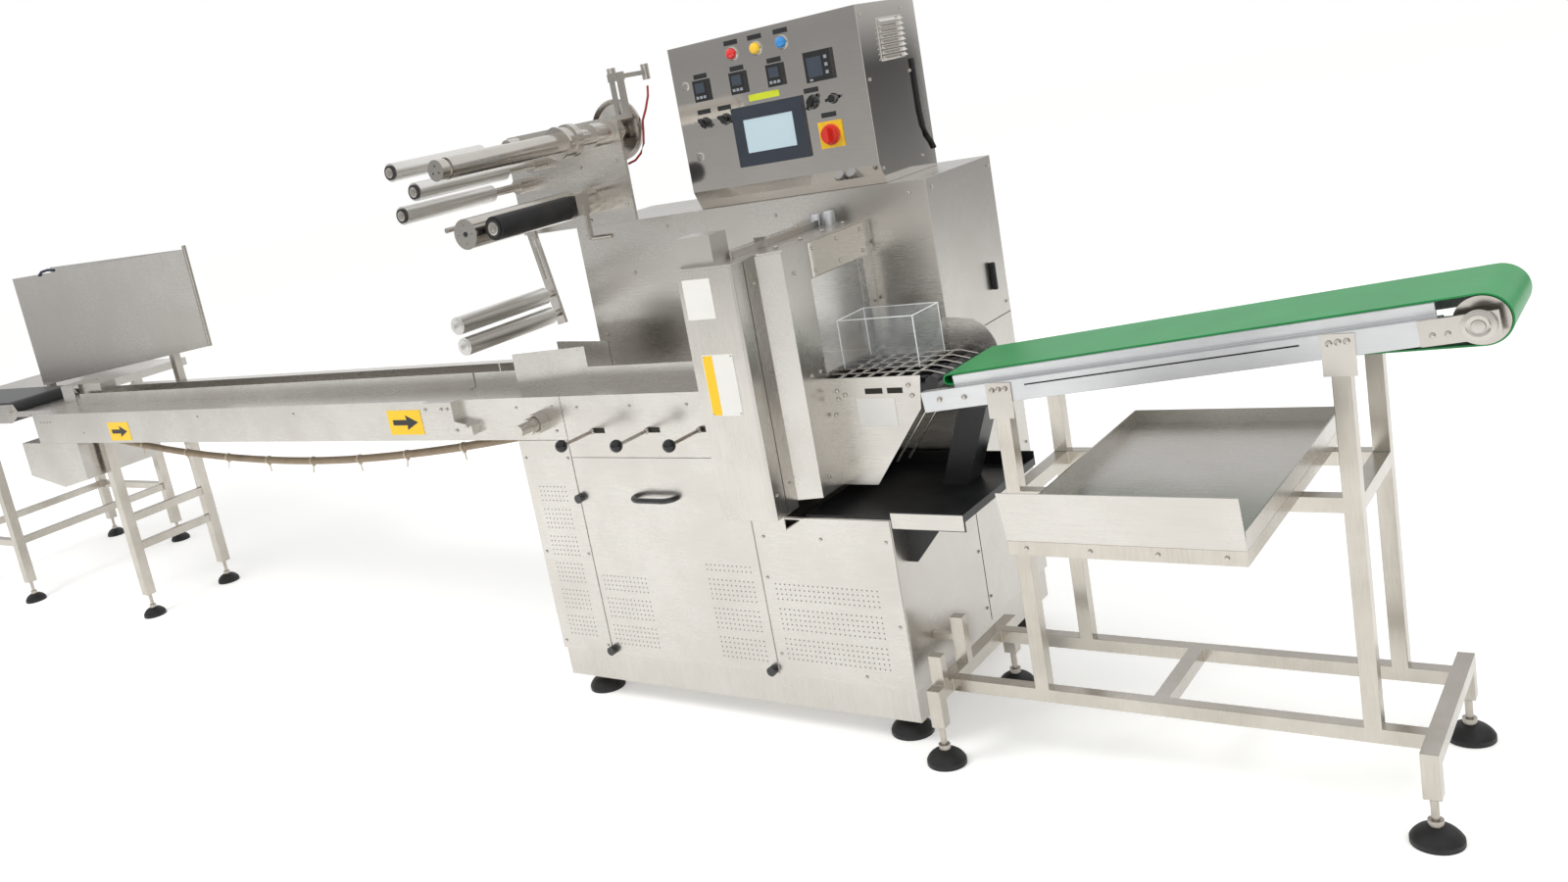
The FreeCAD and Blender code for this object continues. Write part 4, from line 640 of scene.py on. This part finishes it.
# %% Lamps and selector knobs
face = high("screen_bezel")[1]
LAMP_HEIGHT, KNOB_HEIGHT, METER_HEIGHT = 1629, 1474, 1556
METER_PLACES = (514, 627, 737)
lamp_colours = {"red": (622, "#D3181C"), "yellow": (693, "#F2C01A"), "blue": (768, "#1E83C9")}
rings = []
for colour, (x, shade) in lamp_colours.items():
    lens = moulded(f"lamp_lens_{colour}", shade, 0.14, bump=0.02, coat=0.6, dust_share=0.02)
    build(f"lamp_lens_{colour}", [lathe_mesh([(14, 3), (14, 8), (12.5, 11.5), (8.5, 14.2), (2, 15.6)],
                                             at(x, face, LAMP_HEIGHT), FRONT, 32)], lens, smooth=True)
    rings.append(lathe_mesh([(17, 0), (17, 3.5), (15.4, 5), (14.1, 5)],
                            at(x, face, LAMP_HEIGHT), FRONT, 32))
build("lamp_rings", rings, turned_steel, smooth=True)


def bar_knob(x, z, size, angle):
    """A selector: round skirt with a bar grip that is turned by an angle."""
    profile = [(size, 0), (size, 3), (size * 0.82, 6), (size * 0.74, 13)]
    skirt = lathe_mesh(profile, at(x, face, z), FRONT, 28)
    c, s = math.cos(angle), math.sin(angle)
    corners = [(-0.28, -1.05), (0.28, -1.05), (0.34, 0.9), (0, 1.25), (-0.34, 0.9)]
    spots = [(x + size * (a * c - b * s), face - 19, z + size * (a * s + b * c)) for a, b in corners]
    return [skirt, prism_mesh(spots, (0, 11, 0))]


knobs = bar_knob(507, KNOB_HEIGHT, 15, 0.7) + bar_knob(570, KNOB_HEIGHT, 15, 0.9)
knobs += bar_knob(826, KNOB_HEIGHT, 17, -0.5) + bar_knob(883, KNOB_HEIGHT, 13, -1.4)
selector_knobs = build("selector_knobs", knobs, phenolic_black, bevel_mm=0.6)
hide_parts("console_controls")
print("lamps:", len(rings), "knobs: 4")

# %% Strips, dials and display
strips = [(x, LAMP_HEIGHT + 27) for x, _ in lamp_colours.values()]
strips += [(x, METER_HEIGHT + 36) for x in METER_PLACES]
strips += [(x, KNOB_HEIGHT + 29) for x in (507, 570, 826)] + [(863, 1438)]
build("engraving_strips", [block_mesh((x - 20, face - 1.2, z - 6), (40, 1.2, 12)) for x, z in strips],
      black_plastic, bevel_mm=0.3)
lime_strip = moulded("lime_strip_blank", "#C9D320", 0.4, bump=0.02, dust_share=0.03)
build("blank_lime_strip", [block_mesh((648, face - 0.8, 1505), (89, 0.8, 16))], lime_strip, bevel_mm=0.2)
dial_glass = moulded("dial_window_smoked", "#39424E", 0.12, bump=0.0, coat=0.6, dust_share=0.02)
dial_keys = moulded("dial_keys_grey", "#8E9499", 0.45, bump=0.05)
windows, keys = [], []
for x in METER_PLACES:
    windows.append(block_mesh((x - 14, face - 11, METER_HEIGHT - 5), (28, 1.2, 24)))
    keys += [block_mesh((x - 15 + 11 * k, face - 11.2, METER_HEIGHT - 20), (8, 1.4, 7)) for k in range(3)]
windows.append(block_mesh((832, face - 11, METER_HEIGHT - 24), (40, 1.2, 46)))
keys += [block_mesh((880, face - 11.2, METER_HEIGHT + z), (8, 1.4, 8)) for z in (-22, -4, 14)]
keys.append(block_mesh((834, face - 11.2, METER_HEIGHT - 33), (9, 1.4, 5)))
build("dial_windows", windows, dial_glass, bevel_mm=0.5)
build("dial_keys", keys, dial_keys, bevel_mm=0.4)
left, _, bottom = low("screen_bezel")
display_recess = face - 5
build("display_glass", [block_mesh((left + 30.5, display_recess - 1.2, bottom + 32.5), (145, 1.2, 84))],
      screen_glass, bevel_mm=0.4)
switch_x, switch_z = middle("main_switch")
collar = lathe_mesh([(25, 0), (25, 3), (22, 5)], at(switch_x, face - 4, switch_z), FRONT, 32)
build("switch_collar", [collar], red_plastic, smooth=True)
print("strips:", len(strips), "keys:", len(keys))

# %% Locks, gasket and console screws
locks = []
for x, z in ((471, 1392), (465, 1575)):
    locks.append(lathe_mesh([(11, 0), (11, 2.5), (9, 4), (4, 4.2)], at(x, face, z), FRONT, 24))
    locks.append(block_mesh((x - 1.5, face - 5, z - 5), (3, 1.2, 10)))
build("console_locks", locks, turned_steel)


def tube_mesh(places, radius_mm, sides=10):
    """A round cord through smooth places, given from the cabinet in millimetres."""
    spots = [at(*place) for place in places]
    vertices, faces = [], []
    for k, spot in enumerate(spots):
        ahead = spots[min(k + 1, len(spots) - 1)] - spots[max(k - 1, 0)]
        _, side, up = face_frame(ahead)
        for n in range(sides):
            angle = 2 * math.pi * n / sides
            vertices.append(spot + (side * math.cos(angle) + up * math.sin(angle)) * radius_mm * MM)
    for k in range(len(spots) - 1):
        for n in range(sides):
            m = (n + 1) % sides
            faces.append((k * sides + n, k * sides + m, (k + 1) * sides + m, (k + 1) * sides + n))
    faces += [tuple(range(sides)), tuple((len(spots) - 1) * sides + n for n in range(sides))]
    return vertices, faces


side = high("console_box")[0] - 11
gasket = [(side + 3, y, z) for y, z in ((655, 1528), (655, 1460), (656, 1400), (662, 1362), (676, 1335),
                                        (694, 1318), (706, 1300))]
build("console_edge_gasket", [tube_mesh(gasket, 5)], black_rubber, smooth=True)
console_screws = on_right(side, [(y, z) for y in (432, 640) for z in (1650, 1500, 1290)])
heads("console_screws", console_screws, 9, 2.0, 0.4)
print("console done")

# %% [markdown]
# ## Front of the cabinet
# The front is closed by sheets with narrow seams, held by button heads. The left sheet, the door and
# the right sheet are punched with small holes for air. Each hand lever comes out of a slot.

# %% Screws and slots of the front sheets
sheet_face = low("front_sheets")[1]
front_screws = [(x, z) for x in (16, 168) for z in (700, 430, 165)]
front_screws += [(x, 838) for x in (236, 412, 590)]
front_screws += [(742, 505), (900, 505), (732, 400), (732, 200), (1068, 505), (1068, 300), (960, 165)]
heads("front_sheet_screws", on_front(sheet_face, front_screws), 9, 1.8, 0.4)
slots = [block_mesh((x, sheet_face - 0.5, 768), (40, 0.8, 14)) for x in (275, 454, 615)]
build("lever_slots", slots, dark_slot)

# %% A tree for punched holes
holes_tree, given, result = new_tree("holes_on_points", {
    "Diameter": ("NodeSocketFloat", 0.004), "Material": ("NodeSocketMaterial", None)})
radius = add(holes_tree, "ShaderNodeMath", {"operation": "MULTIPLY"}, n0=given.outputs["Diameter"], n1=0.5)
disc = add(holes_tree, "GeometryNodeMeshCylinder", Vertices=8, Radius=radius.outputs[0], Depth=0.0005)
set_on_points(holes_tree, given, result, disc)
HOLE_PITCH, HOLE_DIAMETER = 13, 4
# painted shade: each punched hole is a flat grey disc on the sheet, darker than the steel, standing for the
# shade seen through the hole
punched_hole_shade = moulded("punched_hole_painted_shade", "#77716A", 0.6, dust_share=0.05)


def punched(name, left, bottom, columns, rows):
    """A field of holes in a front sheet; every sixth row stays blank, as the punch leaves it."""
    spots = [(left + HOLE_PITCH * i, bottom + HOLE_PITCH * k) for i in range(columns) for k in range(rows)
             if k % 6 != 5]
    return finish_nodes(name, points_facing(name, on_front(sheet_face, spots)), holes_tree,
                        {"Diameter": HOLE_DIAMETER * MM, "Material": punched_hole_shade})


punched("holes_left_sheet", 44, 190, 8, 34)
punched("holes_door_left", 205, 176, 12, 16)
punched("holes_door_right", 556, 176, 11, 20)
punched("holes_right_sheet", 752, 190, 22, 16)
print("punched fields: 4")

# %% [markdown]
# ## Blank plates and arrows
# Where the real machine carries labels, a bare plate stands. The two yellow plates on the infeed show
# the way of travel with a plain black arrow, cut as a thin sheet.

# %% Plates and arrows
column_face = low("head_column")[1]
build("blank_plate_column_high", [block_mesh((722, column_face - 1, 1062), (76, 1, 92))], white_plate,
      bevel_mm=0.4)
build("blank_plate_column_low", [block_mesh((738, column_face - 1, 836), (84, 1, 144))], white_plate,
      bevel_mm=0.4)
build("blank_band_column_low", [block_mesh((740, column_face - 1.6, 838), (26, 0.7, 140))], yellow_plate,
      bevel_mm=0.2)
rivets = [(x, z) for x in (743, 817) for z in (841, 975)]
heads("column_plate_rivets", on_front(column_face - 1, rivets), 5, 1.0, 0.4)
discharge_face = low("discharge_frame")[1]
build("blank_plate_discharge", [block_mesh((985, discharge_face - 1, 742), (96, 1, 66))], white_plate,
      bevel_mm=0.4)


def arrow(name, left, right, bottom, top):
    """A yellow plate with a black arrow that points along the line's travel."""
    build(name + "_plate", [block_mesh((left, sheet_face - 1, bottom), (right - left, 1, top - bottom))],
          yellow_plate, bevel_mm=0.3)
    centre, width = (bottom + top) / 2, right - left
    tail, neck, tip = left + width * 0.14, left + width * 0.56, left + width * 0.88
    half, wing = (top - bottom) * 0.11, (top - bottom) * 0.30
    outline = [(tail, -half), (neck, -half), (neck - 4, -wing), (tip, 0), (neck - 4, wing), (neck, half),
               (tail, half)]
    spots = [(x, sheet_face - 1.6, centre + z) for x, z in outline]
    build(name + "_mark", [prism_mesh(spots, (0, 0.7, 0))], black_plastic)


arrow("travel_arrow_left", -2097, -1956, 760, 830)
arrow("travel_arrow_right", -511, -365, 770, 844)
print("plates and arrows done")

# %% [markdown]
# ## Sealing head and discharge
# Screws hold the polished strip over the window and the lid. The black slots in the discharge plate let
# the belt bearings move.

# %% Head strip, lid fittings and side screws
head_side = high("head_box")[0]
build("head_window_strip", [block_mesh((head_side, 132, 1094), (2.5, 262, 80))], mirror_sheet, bevel_mm=0.5)
strip_screws = on_right(head_side + 2.5, [(y, z) for y in (150, 262, 376) for z in (1108, 1160)])
side_screws = on_right(head_side, [(60, 1120), (60, 880), (60, 640), (100, 880), (400, 1120), (400, 980),
                                   (400, 860)])
heads("head_screws", strip_screws + side_screws, 10, 2.2, 0.45)
lid_top = high("head_box")[2] + 4
heads("lid_screws", [((x, y, lid_top), UP) for x, y in ((880, 60), (890, 150), (890, 250), (890, 350),
                                                        (740, 250), (740, 380))], 12, 4, 0.5)
build("lid_post", [lathe_mesh([(15, 0), (15, 30), (13, 34), (6, 35)], at(842, 372, lid_top), UP, 24),
                   lathe_mesh([(15, 0), (15, 26), (13, 30), (6, 31)], at(806, 372, lid_top), UP, 24)],
      drawn_aluminium, smooth=True)
build("lid_ridge", [block_mesh((812, -20, lid_top), (6, 380, 16)),
                    block_mesh((800, 96, lid_top), (30, 8, 26))],
      brushed_sheet, bevel_mm=0.6)
column_right = high("head_column")[0]
build("column_cover_seam", [block_mesh((column_right, -49, 586), (0.5, 1.6, 588))], dark_slot)
heads("column_screws", on_right(column_right, [(-20, 650), (-20, 1120), (-80, 640)]), 8, 1.8, 0.45)
build("discharge_slots", [block_mesh((1010, discharge_face - 0.6, 818), (44, 0.8, 13)),
                          block_mesh((1066, discharge_face - 0.6, 818), (38, 0.8, 13))], dark_slot)
heads("discharge_screws", on_front(discharge_face, [(938, 828), (938, 808), (958, 818), (1120, 836),
                                                    (1126, 812), (925, 770)]), 11, 2.2, 0.45)
build("catch_plate_edge", [block_mesh((1088, 3.6, 538), (172, 1.2, 36))], brushed_sheet, bevel_mm=0.3)
wires = [tube_mesh([(918, y, 861), (1060, y, 861), (1160, y, 862), (1196, y + 8, 850)], 1.6, 8)
         for y in range(142, 319, 44)]
wires += [tube_mesh([(1018 + 16 * k, 140 + 30 * k, 640), (1136 + 16 * k, 140 + 30 * k, 796)], 3.2, 8)
          for k in range(3)]
build("discharge_wires", wires, turned_steel, smooth=True)
(x1, y1, z1), (x2, y2, z2) = (919, 200, 855), (1112, 330, 975)  # the box of the exit cover
# painted highlight: thin near-white cords along the edges of the clear covers stand for the light that
# their polished edges catch
edges = []
for y in (y1, y2):
    edges += [[(x1, y, z2), (x2, y, z2)], [(x2, y, z1), (x2, y, z2)], [(x1, y, z1), (x1, y, z2)]]
edges += [[(x, y1, z2), (x, y2, z2)] for x in (x2, x1)]
edges += [[(668, y, 872), (668, y, 1045), (712, y, 1045)] for y in (60, 330)]
build("cover_edges_painted_highlight", [tube_mesh(edge, 1.4, 6) for edge in edges], edge_painted_highlight)
print("head done")

# %% [markdown]
# ## Ends of the rollers
# A conveyor roller ends in a sealed bearing: a dark seal ring, a steel race and the end of the axle.
# Each end belongs to its own roller, so it turns with that body.

# %% Bearing ends, one set for each body
def roller_end(name, node, body):
    """Seal ring and bearing race on a roller's front end."""
    x, z = middle(node)
    outer = (high(node)[2] - low(node)[2]) / 2
    front = at(x, low(node)[1], z)
    seal = [(0.80, 0), (0.80, 0.8), (0.46, 0.8)]
    race = [(0.56, 0), (0.56, 1.6), (0.42, 2.0), (0.40, 0.9), (0.26, 0.9), (0.24, 2.6), (0.12, 2.8)]
    build(name + "_seal", [lathe_mesh([(outer * share, out) for share, out in seal], front, FRONT, 28)],
          black_rubber, body)
    build(name + "_race", [lathe_mesh([(outer * share, out) for share, out in race], front, FRONT, 28)],
          turned_steel, body, smooth=True)


for side_name in ("high", "middle", "low"):
    roller_end(f"guide_{side_name}_end", f"guide_roller_{side_name}", f"guide_{side_name}")
roller_end("pinch_end", "pinch_roller", "pinch")
feed_x, feed_z = middle("feed_roller")
feed_face, reel_face = low("feed_roller")[1], low("reel_shaft")[1]
quarters = [k * math.pi / 2 for k in range(4)]
heads("feed_end_screw", on_front(feed_face, [(feed_x, feed_z)]), 14, 2.0, 0.3, black_plastic, "feed")
heads("feed_end_marks", on_front(feed_face, [(feed_x + 24 * math.cos(a), feed_z + 24 * math.sin(a))
                                             for a in quarters]), 3, 0.4, 0.2, dark_slot, "feed")
REEL_X, REEL_Z = 175, 1500
heads("reel_end_holes", on_front(reel_face, [(REEL_X - 10, REEL_Z - 6), (REEL_X + 10, REEL_Z - 6),
                                             (REEL_X, REEL_Z + 11)]), 5, 0.4, 0.2, dark_slot, "reel")
strap = [(246, 545, 1600), (254, 528, 1574), (262, 496, 1540), (266, 468, 1512), (266, 462, 1484),
         (259, 462, 1452), (243, 462, 1427), (220, 462, 1411), (194, 462, 1405)]
build("brake_strap", [tube_mesh(strap, 3.2)], strap_leather, smooth=True)
film_plate_face = low("film_plate")[1]
heads("film_plate_screws", on_front(film_plate_face, [(-30, 1500), (60, 1420), (200, 1300), (60, 1270),
                                                      (190, 1420)]), 11, 2.4, 0.45)
print("roller ends done")

# %% [markdown]
# ## Conveyors
# Aluminium rails are joined by steel plates with pairs of screws. The infeed guides and the tray are
# screwed too, with a close row of screws at the tail of the infeed.

# %% Screws of the conveyors
SLOPE, RAIL_TOP = math.radians(6.1), 845


def on_rail(along, across, y):
    """A place on the sloping rail: along it and down from its top edge, in millimetres."""
    start = low("outfeed_frame")[0]
    return (start + along * math.cos(SLOPE) + across * math.sin(SLOPE), y,
            RAIL_TOP + along * math.sin(SLOPE) - across * math.cos(SLOPE))


rail_face = low("outfeed_frame")[1]
SPLICE_FACE = 12
rail_screws = on_front(SPLICE_FACE, [(1362, 846), (1376, 848), (1390, 849), (1986, 912), (2000, 914),
                                     (2014, 915)])
rail_screws += [(on_rail(40, 20, rail_face), FRONT), (on_rail(96, 22, rail_face), FRONT)]
heads("rail_screws", rail_screws, 12, 3.0, 0.5)
groove = []
for along in range(230, 740, 30):
    corners = [(along, 12), (along + 30.5, 12), (along + 30.5, 15), (along, 15)]
    groove.append(prism_mesh([on_rail(x, down, rail_face - 0.4) for x, down in corners], (0, 0.6, 0)))
build("rail_groove", groove, dark_slot)
drum_x, drum_z = middle("outfeed_drum")
BEARING_PROFILE = [(25, 0), (25, 1.5), (18, 2.5), (16, 1.2), (11, 1.2), (10, 4), (5, 4.4)]
BEARING_FACE, DRUM_PLATE_FACE = 1, 9
build("drum_bearing_face", [lathe_mesh(BEARING_PROFILE, at(drum_x, BEARING_FACE, drum_z), FRONT, 32)],
      turned_steel, smooth=True)
drum_plate_screws = on_front(DRUM_PLATE_FACE, [(drum_x - 66, drum_z - 14), (drum_x - 44, drum_z - 12)])
heads("drum_plate_screws", drum_plate_screws, 10, 2.4, 0.5)
infeed_screws = [(x, 835) for x in (-2600, -2575, -2550, -2525)] + [(-2290, 790)]
infeed_screws += [(x, 842) for x in (-1500, -960, -330, 20, 150)] + [(20, 775), (150, 775)]
heads("infeed_screws", on_front(sheet_face, infeed_screws), 9, 1.8, 0.4)
sensor_face, tray_face = low("infeed_sensor_box")[1], low("tray_frame")[1]
heads("sensor_box_screws", on_front(sensor_face, [(-312, 850), (-246, 850), (-222, 850), (-155, 800),
                                                  (-200, 788)]), 11, 2.5, 0.5)
heads("tray_screws", on_front(tray_face, [(x, 643) for x in (1545, 1660, 1775, 1885)]), 9, 2.0, 0.45)
print("conveyors done")

# %% [markdown]
# ## Side, hopper and feeder
# The right side of the cabinet shows the seam between body and rear housing, and a small pull. A short
# strap lies over the rim of the hopper wall.

# %% Seams, pull and hopper fittings
cabinet_right = high("cabinet_body")[0]
build("side_seam", [block_mesh((cabinet_right, 414, 144), (0.5, 2.0, 410)),
                    block_mesh((cabinet_right, 417, 850), (0.5, 360, 1.6))], dark_slot)
side_screws = [(400, 500), (400, 330), (400, 180), (430, 500), (430, 200), (760, 500), (760, 200)]
side_screws += [(440, 1230), (760, 1230), (760, 880)]
heads("side_screws", on_right(cabinet_right, side_screws), 9, 2.0, 0.45)
build("side_pull", [block_mesh((cabinet_right, 686, 925), (14, 10, 70))], black_plastic, bevel_mm=3)
housing_face = low("rear_housing")[1]
housing_screws = [(320, 1225), (664, 1215), (1040, 1226), (36, 1226), (36, 940), (180, 1110)]
heads("housing_screws", on_front(housing_face, housing_screws), 10, 2.2, 0.45)
rim = high("hopper_front_plate")[2]
build("hopper_rim_strap", [tube_mesh([(-3040, 398, rim - 4), (-3010, 396, rim + 8), (-2970, 404, rim + 12),
                                      (-2930, 412, rim + 6)], 6)],
      moulded("woven_strap_navy", "#232B3D", 0.7, bump=0.4), smooth=True)
feeder_face = low("feeder_table")[1] + 10
feeder_screws = [(x, 850) for x in (-3240, -3200, -2790, -2760, -2730, -2700)]
heads("feeder_screws", on_front(feeder_face, feeder_screws), 10, 2.4, 0.45)
print("side and hopper done")

# %% [markdown]
# ## Floor, light and reflections
# The line stands on a plain pale floor in even studio light. Steel shows its shape only by what it
# mirrors, so tall soft cards stand round it. They are seen by reflections alone: the camera, the
# diffuse light and the shadows ignore them.

# %% Floor and world
def stage_plane(name, centre, across, up, material):
    """A flat card from its centre and two half sides, in metres."""
    c, a, b = Vector(centre), Vector(across), Vector(up)
    mesh = bpy.data.meshes.new(name)
    mesh.from_pydata([tuple(c - a - b), tuple(c + a - b), tuple(c + a + b), tuple(c - a + b)], [],
                     [(0, 1, 2, 3)])
    uv = mesh.uv_layers.new(name="card")
    for k, place in enumerate(((0, 0), (1, 0), (1, 1), (0, 1))):
        uv.data[k].uv = place
    mesh.materials.append(material)
    card = bpy.data.objects.new(name, mesh)
    bpy.context.scene.collection.objects.link(card)
    return card


def seen_directly(tree):
    """1 for camera, mirror and glass rays, and 0 for the light that falls on the machine."""
    path = add(tree, "ShaderNodeLightPath")
    either = add(tree, "ShaderNodeMath", {"operation": "MAXIMUM"}, n0=path.outputs["Is Camera Ray"],
                 n1=path.outputs["Is Glossy Ray"])
    return add(tree, "ShaderNodeMath", {"operation": "MAXIMUM"}, n0=either.outputs[0],
               n1=path.outputs["Is Transmission Ray"]).outputs[0]


floor_paint, tree = new_material("studio_floor_white")
matt = add(tree, "ShaderNodeBsdfDiffuse", Color=linear("#F4F4F2"))
glow = add(tree, "ShaderNodeEmission", Color=grey(1.0), Strength=0.30)
nothing = add(tree, "ShaderNodeEmission", Color=grey(1.0), Strength=0.0)
extra = add(tree, "ShaderNodeMixShader", n0=seen_directly(tree), n1=nothing.outputs[0], n2=glow.outputs[0])
both = add(tree, "ShaderNodeAddShader", n0=matt.outputs[0], n1=extra.outputs[0])
close(tree, both)
stage_plane("studio_floor", (0, 0, -0.0005), (30, 0, 0), (0, 30, 0), floor_paint)

world = bpy.data.worlds.new("studio")
world.use_nodes = True
bpy.context.scene.world = world
tree = world.node_tree
tree.nodes.clear()
white = add(tree, "ShaderNodeBackground", Color=grey(1.0), Strength=1.0)
soft = add(tree, "ShaderNodeBackground", Color=grey(1.0), Strength=0.78)
sky = add(tree, "ShaderNodeMixShader", n0=seen_directly(tree), n1=soft.outputs[0], n2=white.outputs[0])
tree.links.new(sky.outputs[0], add(tree, "ShaderNodeOutputWorld").inputs["Surface"])
print("world:", world.name)

# %% Lamps
def soft_lamp(name, place, target, size, watts):
    data = bpy.data.lights.new(name, "AREA")
    data.size = size
    data.energy = watts
    lamp = bpy.data.objects.new(name, data)
    bpy.context.scene.collection.objects.link(lamp)
    lamp.location = place
    lamp.rotation_euler = (Vector(target) - Vector(place)).to_track_quat("-Z", "Y").to_euler()
    lamp.visible_glossy = False


soft_lamp("key_soft_box", (-1.5, -3.5, 5.5), (0.8, 0.0, 0.8), 3.0, 190)
soft_lamp("fill_soft_box", (5.5, -1.0, 3.5), (0.8, 0.0, 0.8), 3.0, 60)
print("lamps:", len(bpy.data.lights))


# %% Cards that only reflections see
def gradient_card(name, centre, across, up, stops):
    """stops are (place, level) from the card's first side to its far side."""
    made, tree = new_material(name)
    sheet = add(tree, "ShaderNodeUVMap", {"uv_map": "card"})
    parts = add(tree, "ShaderNodeSeparateXYZ", Vector=sheet.outputs[0])
    tone = ramp(tree, parts.outputs[1], [(place, grey(level)) for place, level in stops])
    close(tree, add(tree, "ShaderNodeEmission", Color=tone, Strength=1.0))
    card = stage_plane(name, centre, across, up, made)
    card.visible_camera = False
    card.visible_diffuse = False
    card.visible_shadow = False
    card.visible_transmission = False
    return card


gradient_card("card_right", (7.5, 9.0, 1.9), (0, 5.5, 0), (0, 0, 2.4),
              [(0.0, 0.35), (0.30, 0.16), (0.42, 0.10), (0.52, 0.50), (0.66, 0.80), (1.0, 0.92)])
gradient_card("card_right_near", (7.0, -1.0, 1.6), (0, 3.5, 0), (0, 0, 1.6),
              [(0.0, 0.5), (0.4, 0.2), (0.7, 0.6), (1.0, 0.35)])
gradient_card("card_front_left", (-4.2, -6.5, 1.7), (3.4, -1.0, 0), (0, 0, 1.9),
              [(0.0, 0.60), (0.55, 0.36), (0.672, 0.46), (0.680, 1.0), (0.792, 1.0), (0.802, 0.60),
               (0.86, 0.42)])
gradient_card("card_front", (2.4, -7.5, 1.7), (2.6, 0, 0), (0, 0, 1.9),
              [(0.0, 0.70), (0.5, 0.95), (1.0, 0.5)])
gradient_card("card_back", (0.0, 7.0, 2.0), (5.0, 0, 0), (0, 0, 2.0), [(0.0, 0.3), (0.5, 0.8), (1.0, 0.5)])
gradient_card("card_left", (-8.0, 0.0, 2.0), (0, -4.0, 0), (0, 0, 2.0),
              [(0.0, 0.3), (0.5, 0.8), (1.0, 0.45)])
print("cards: 6")
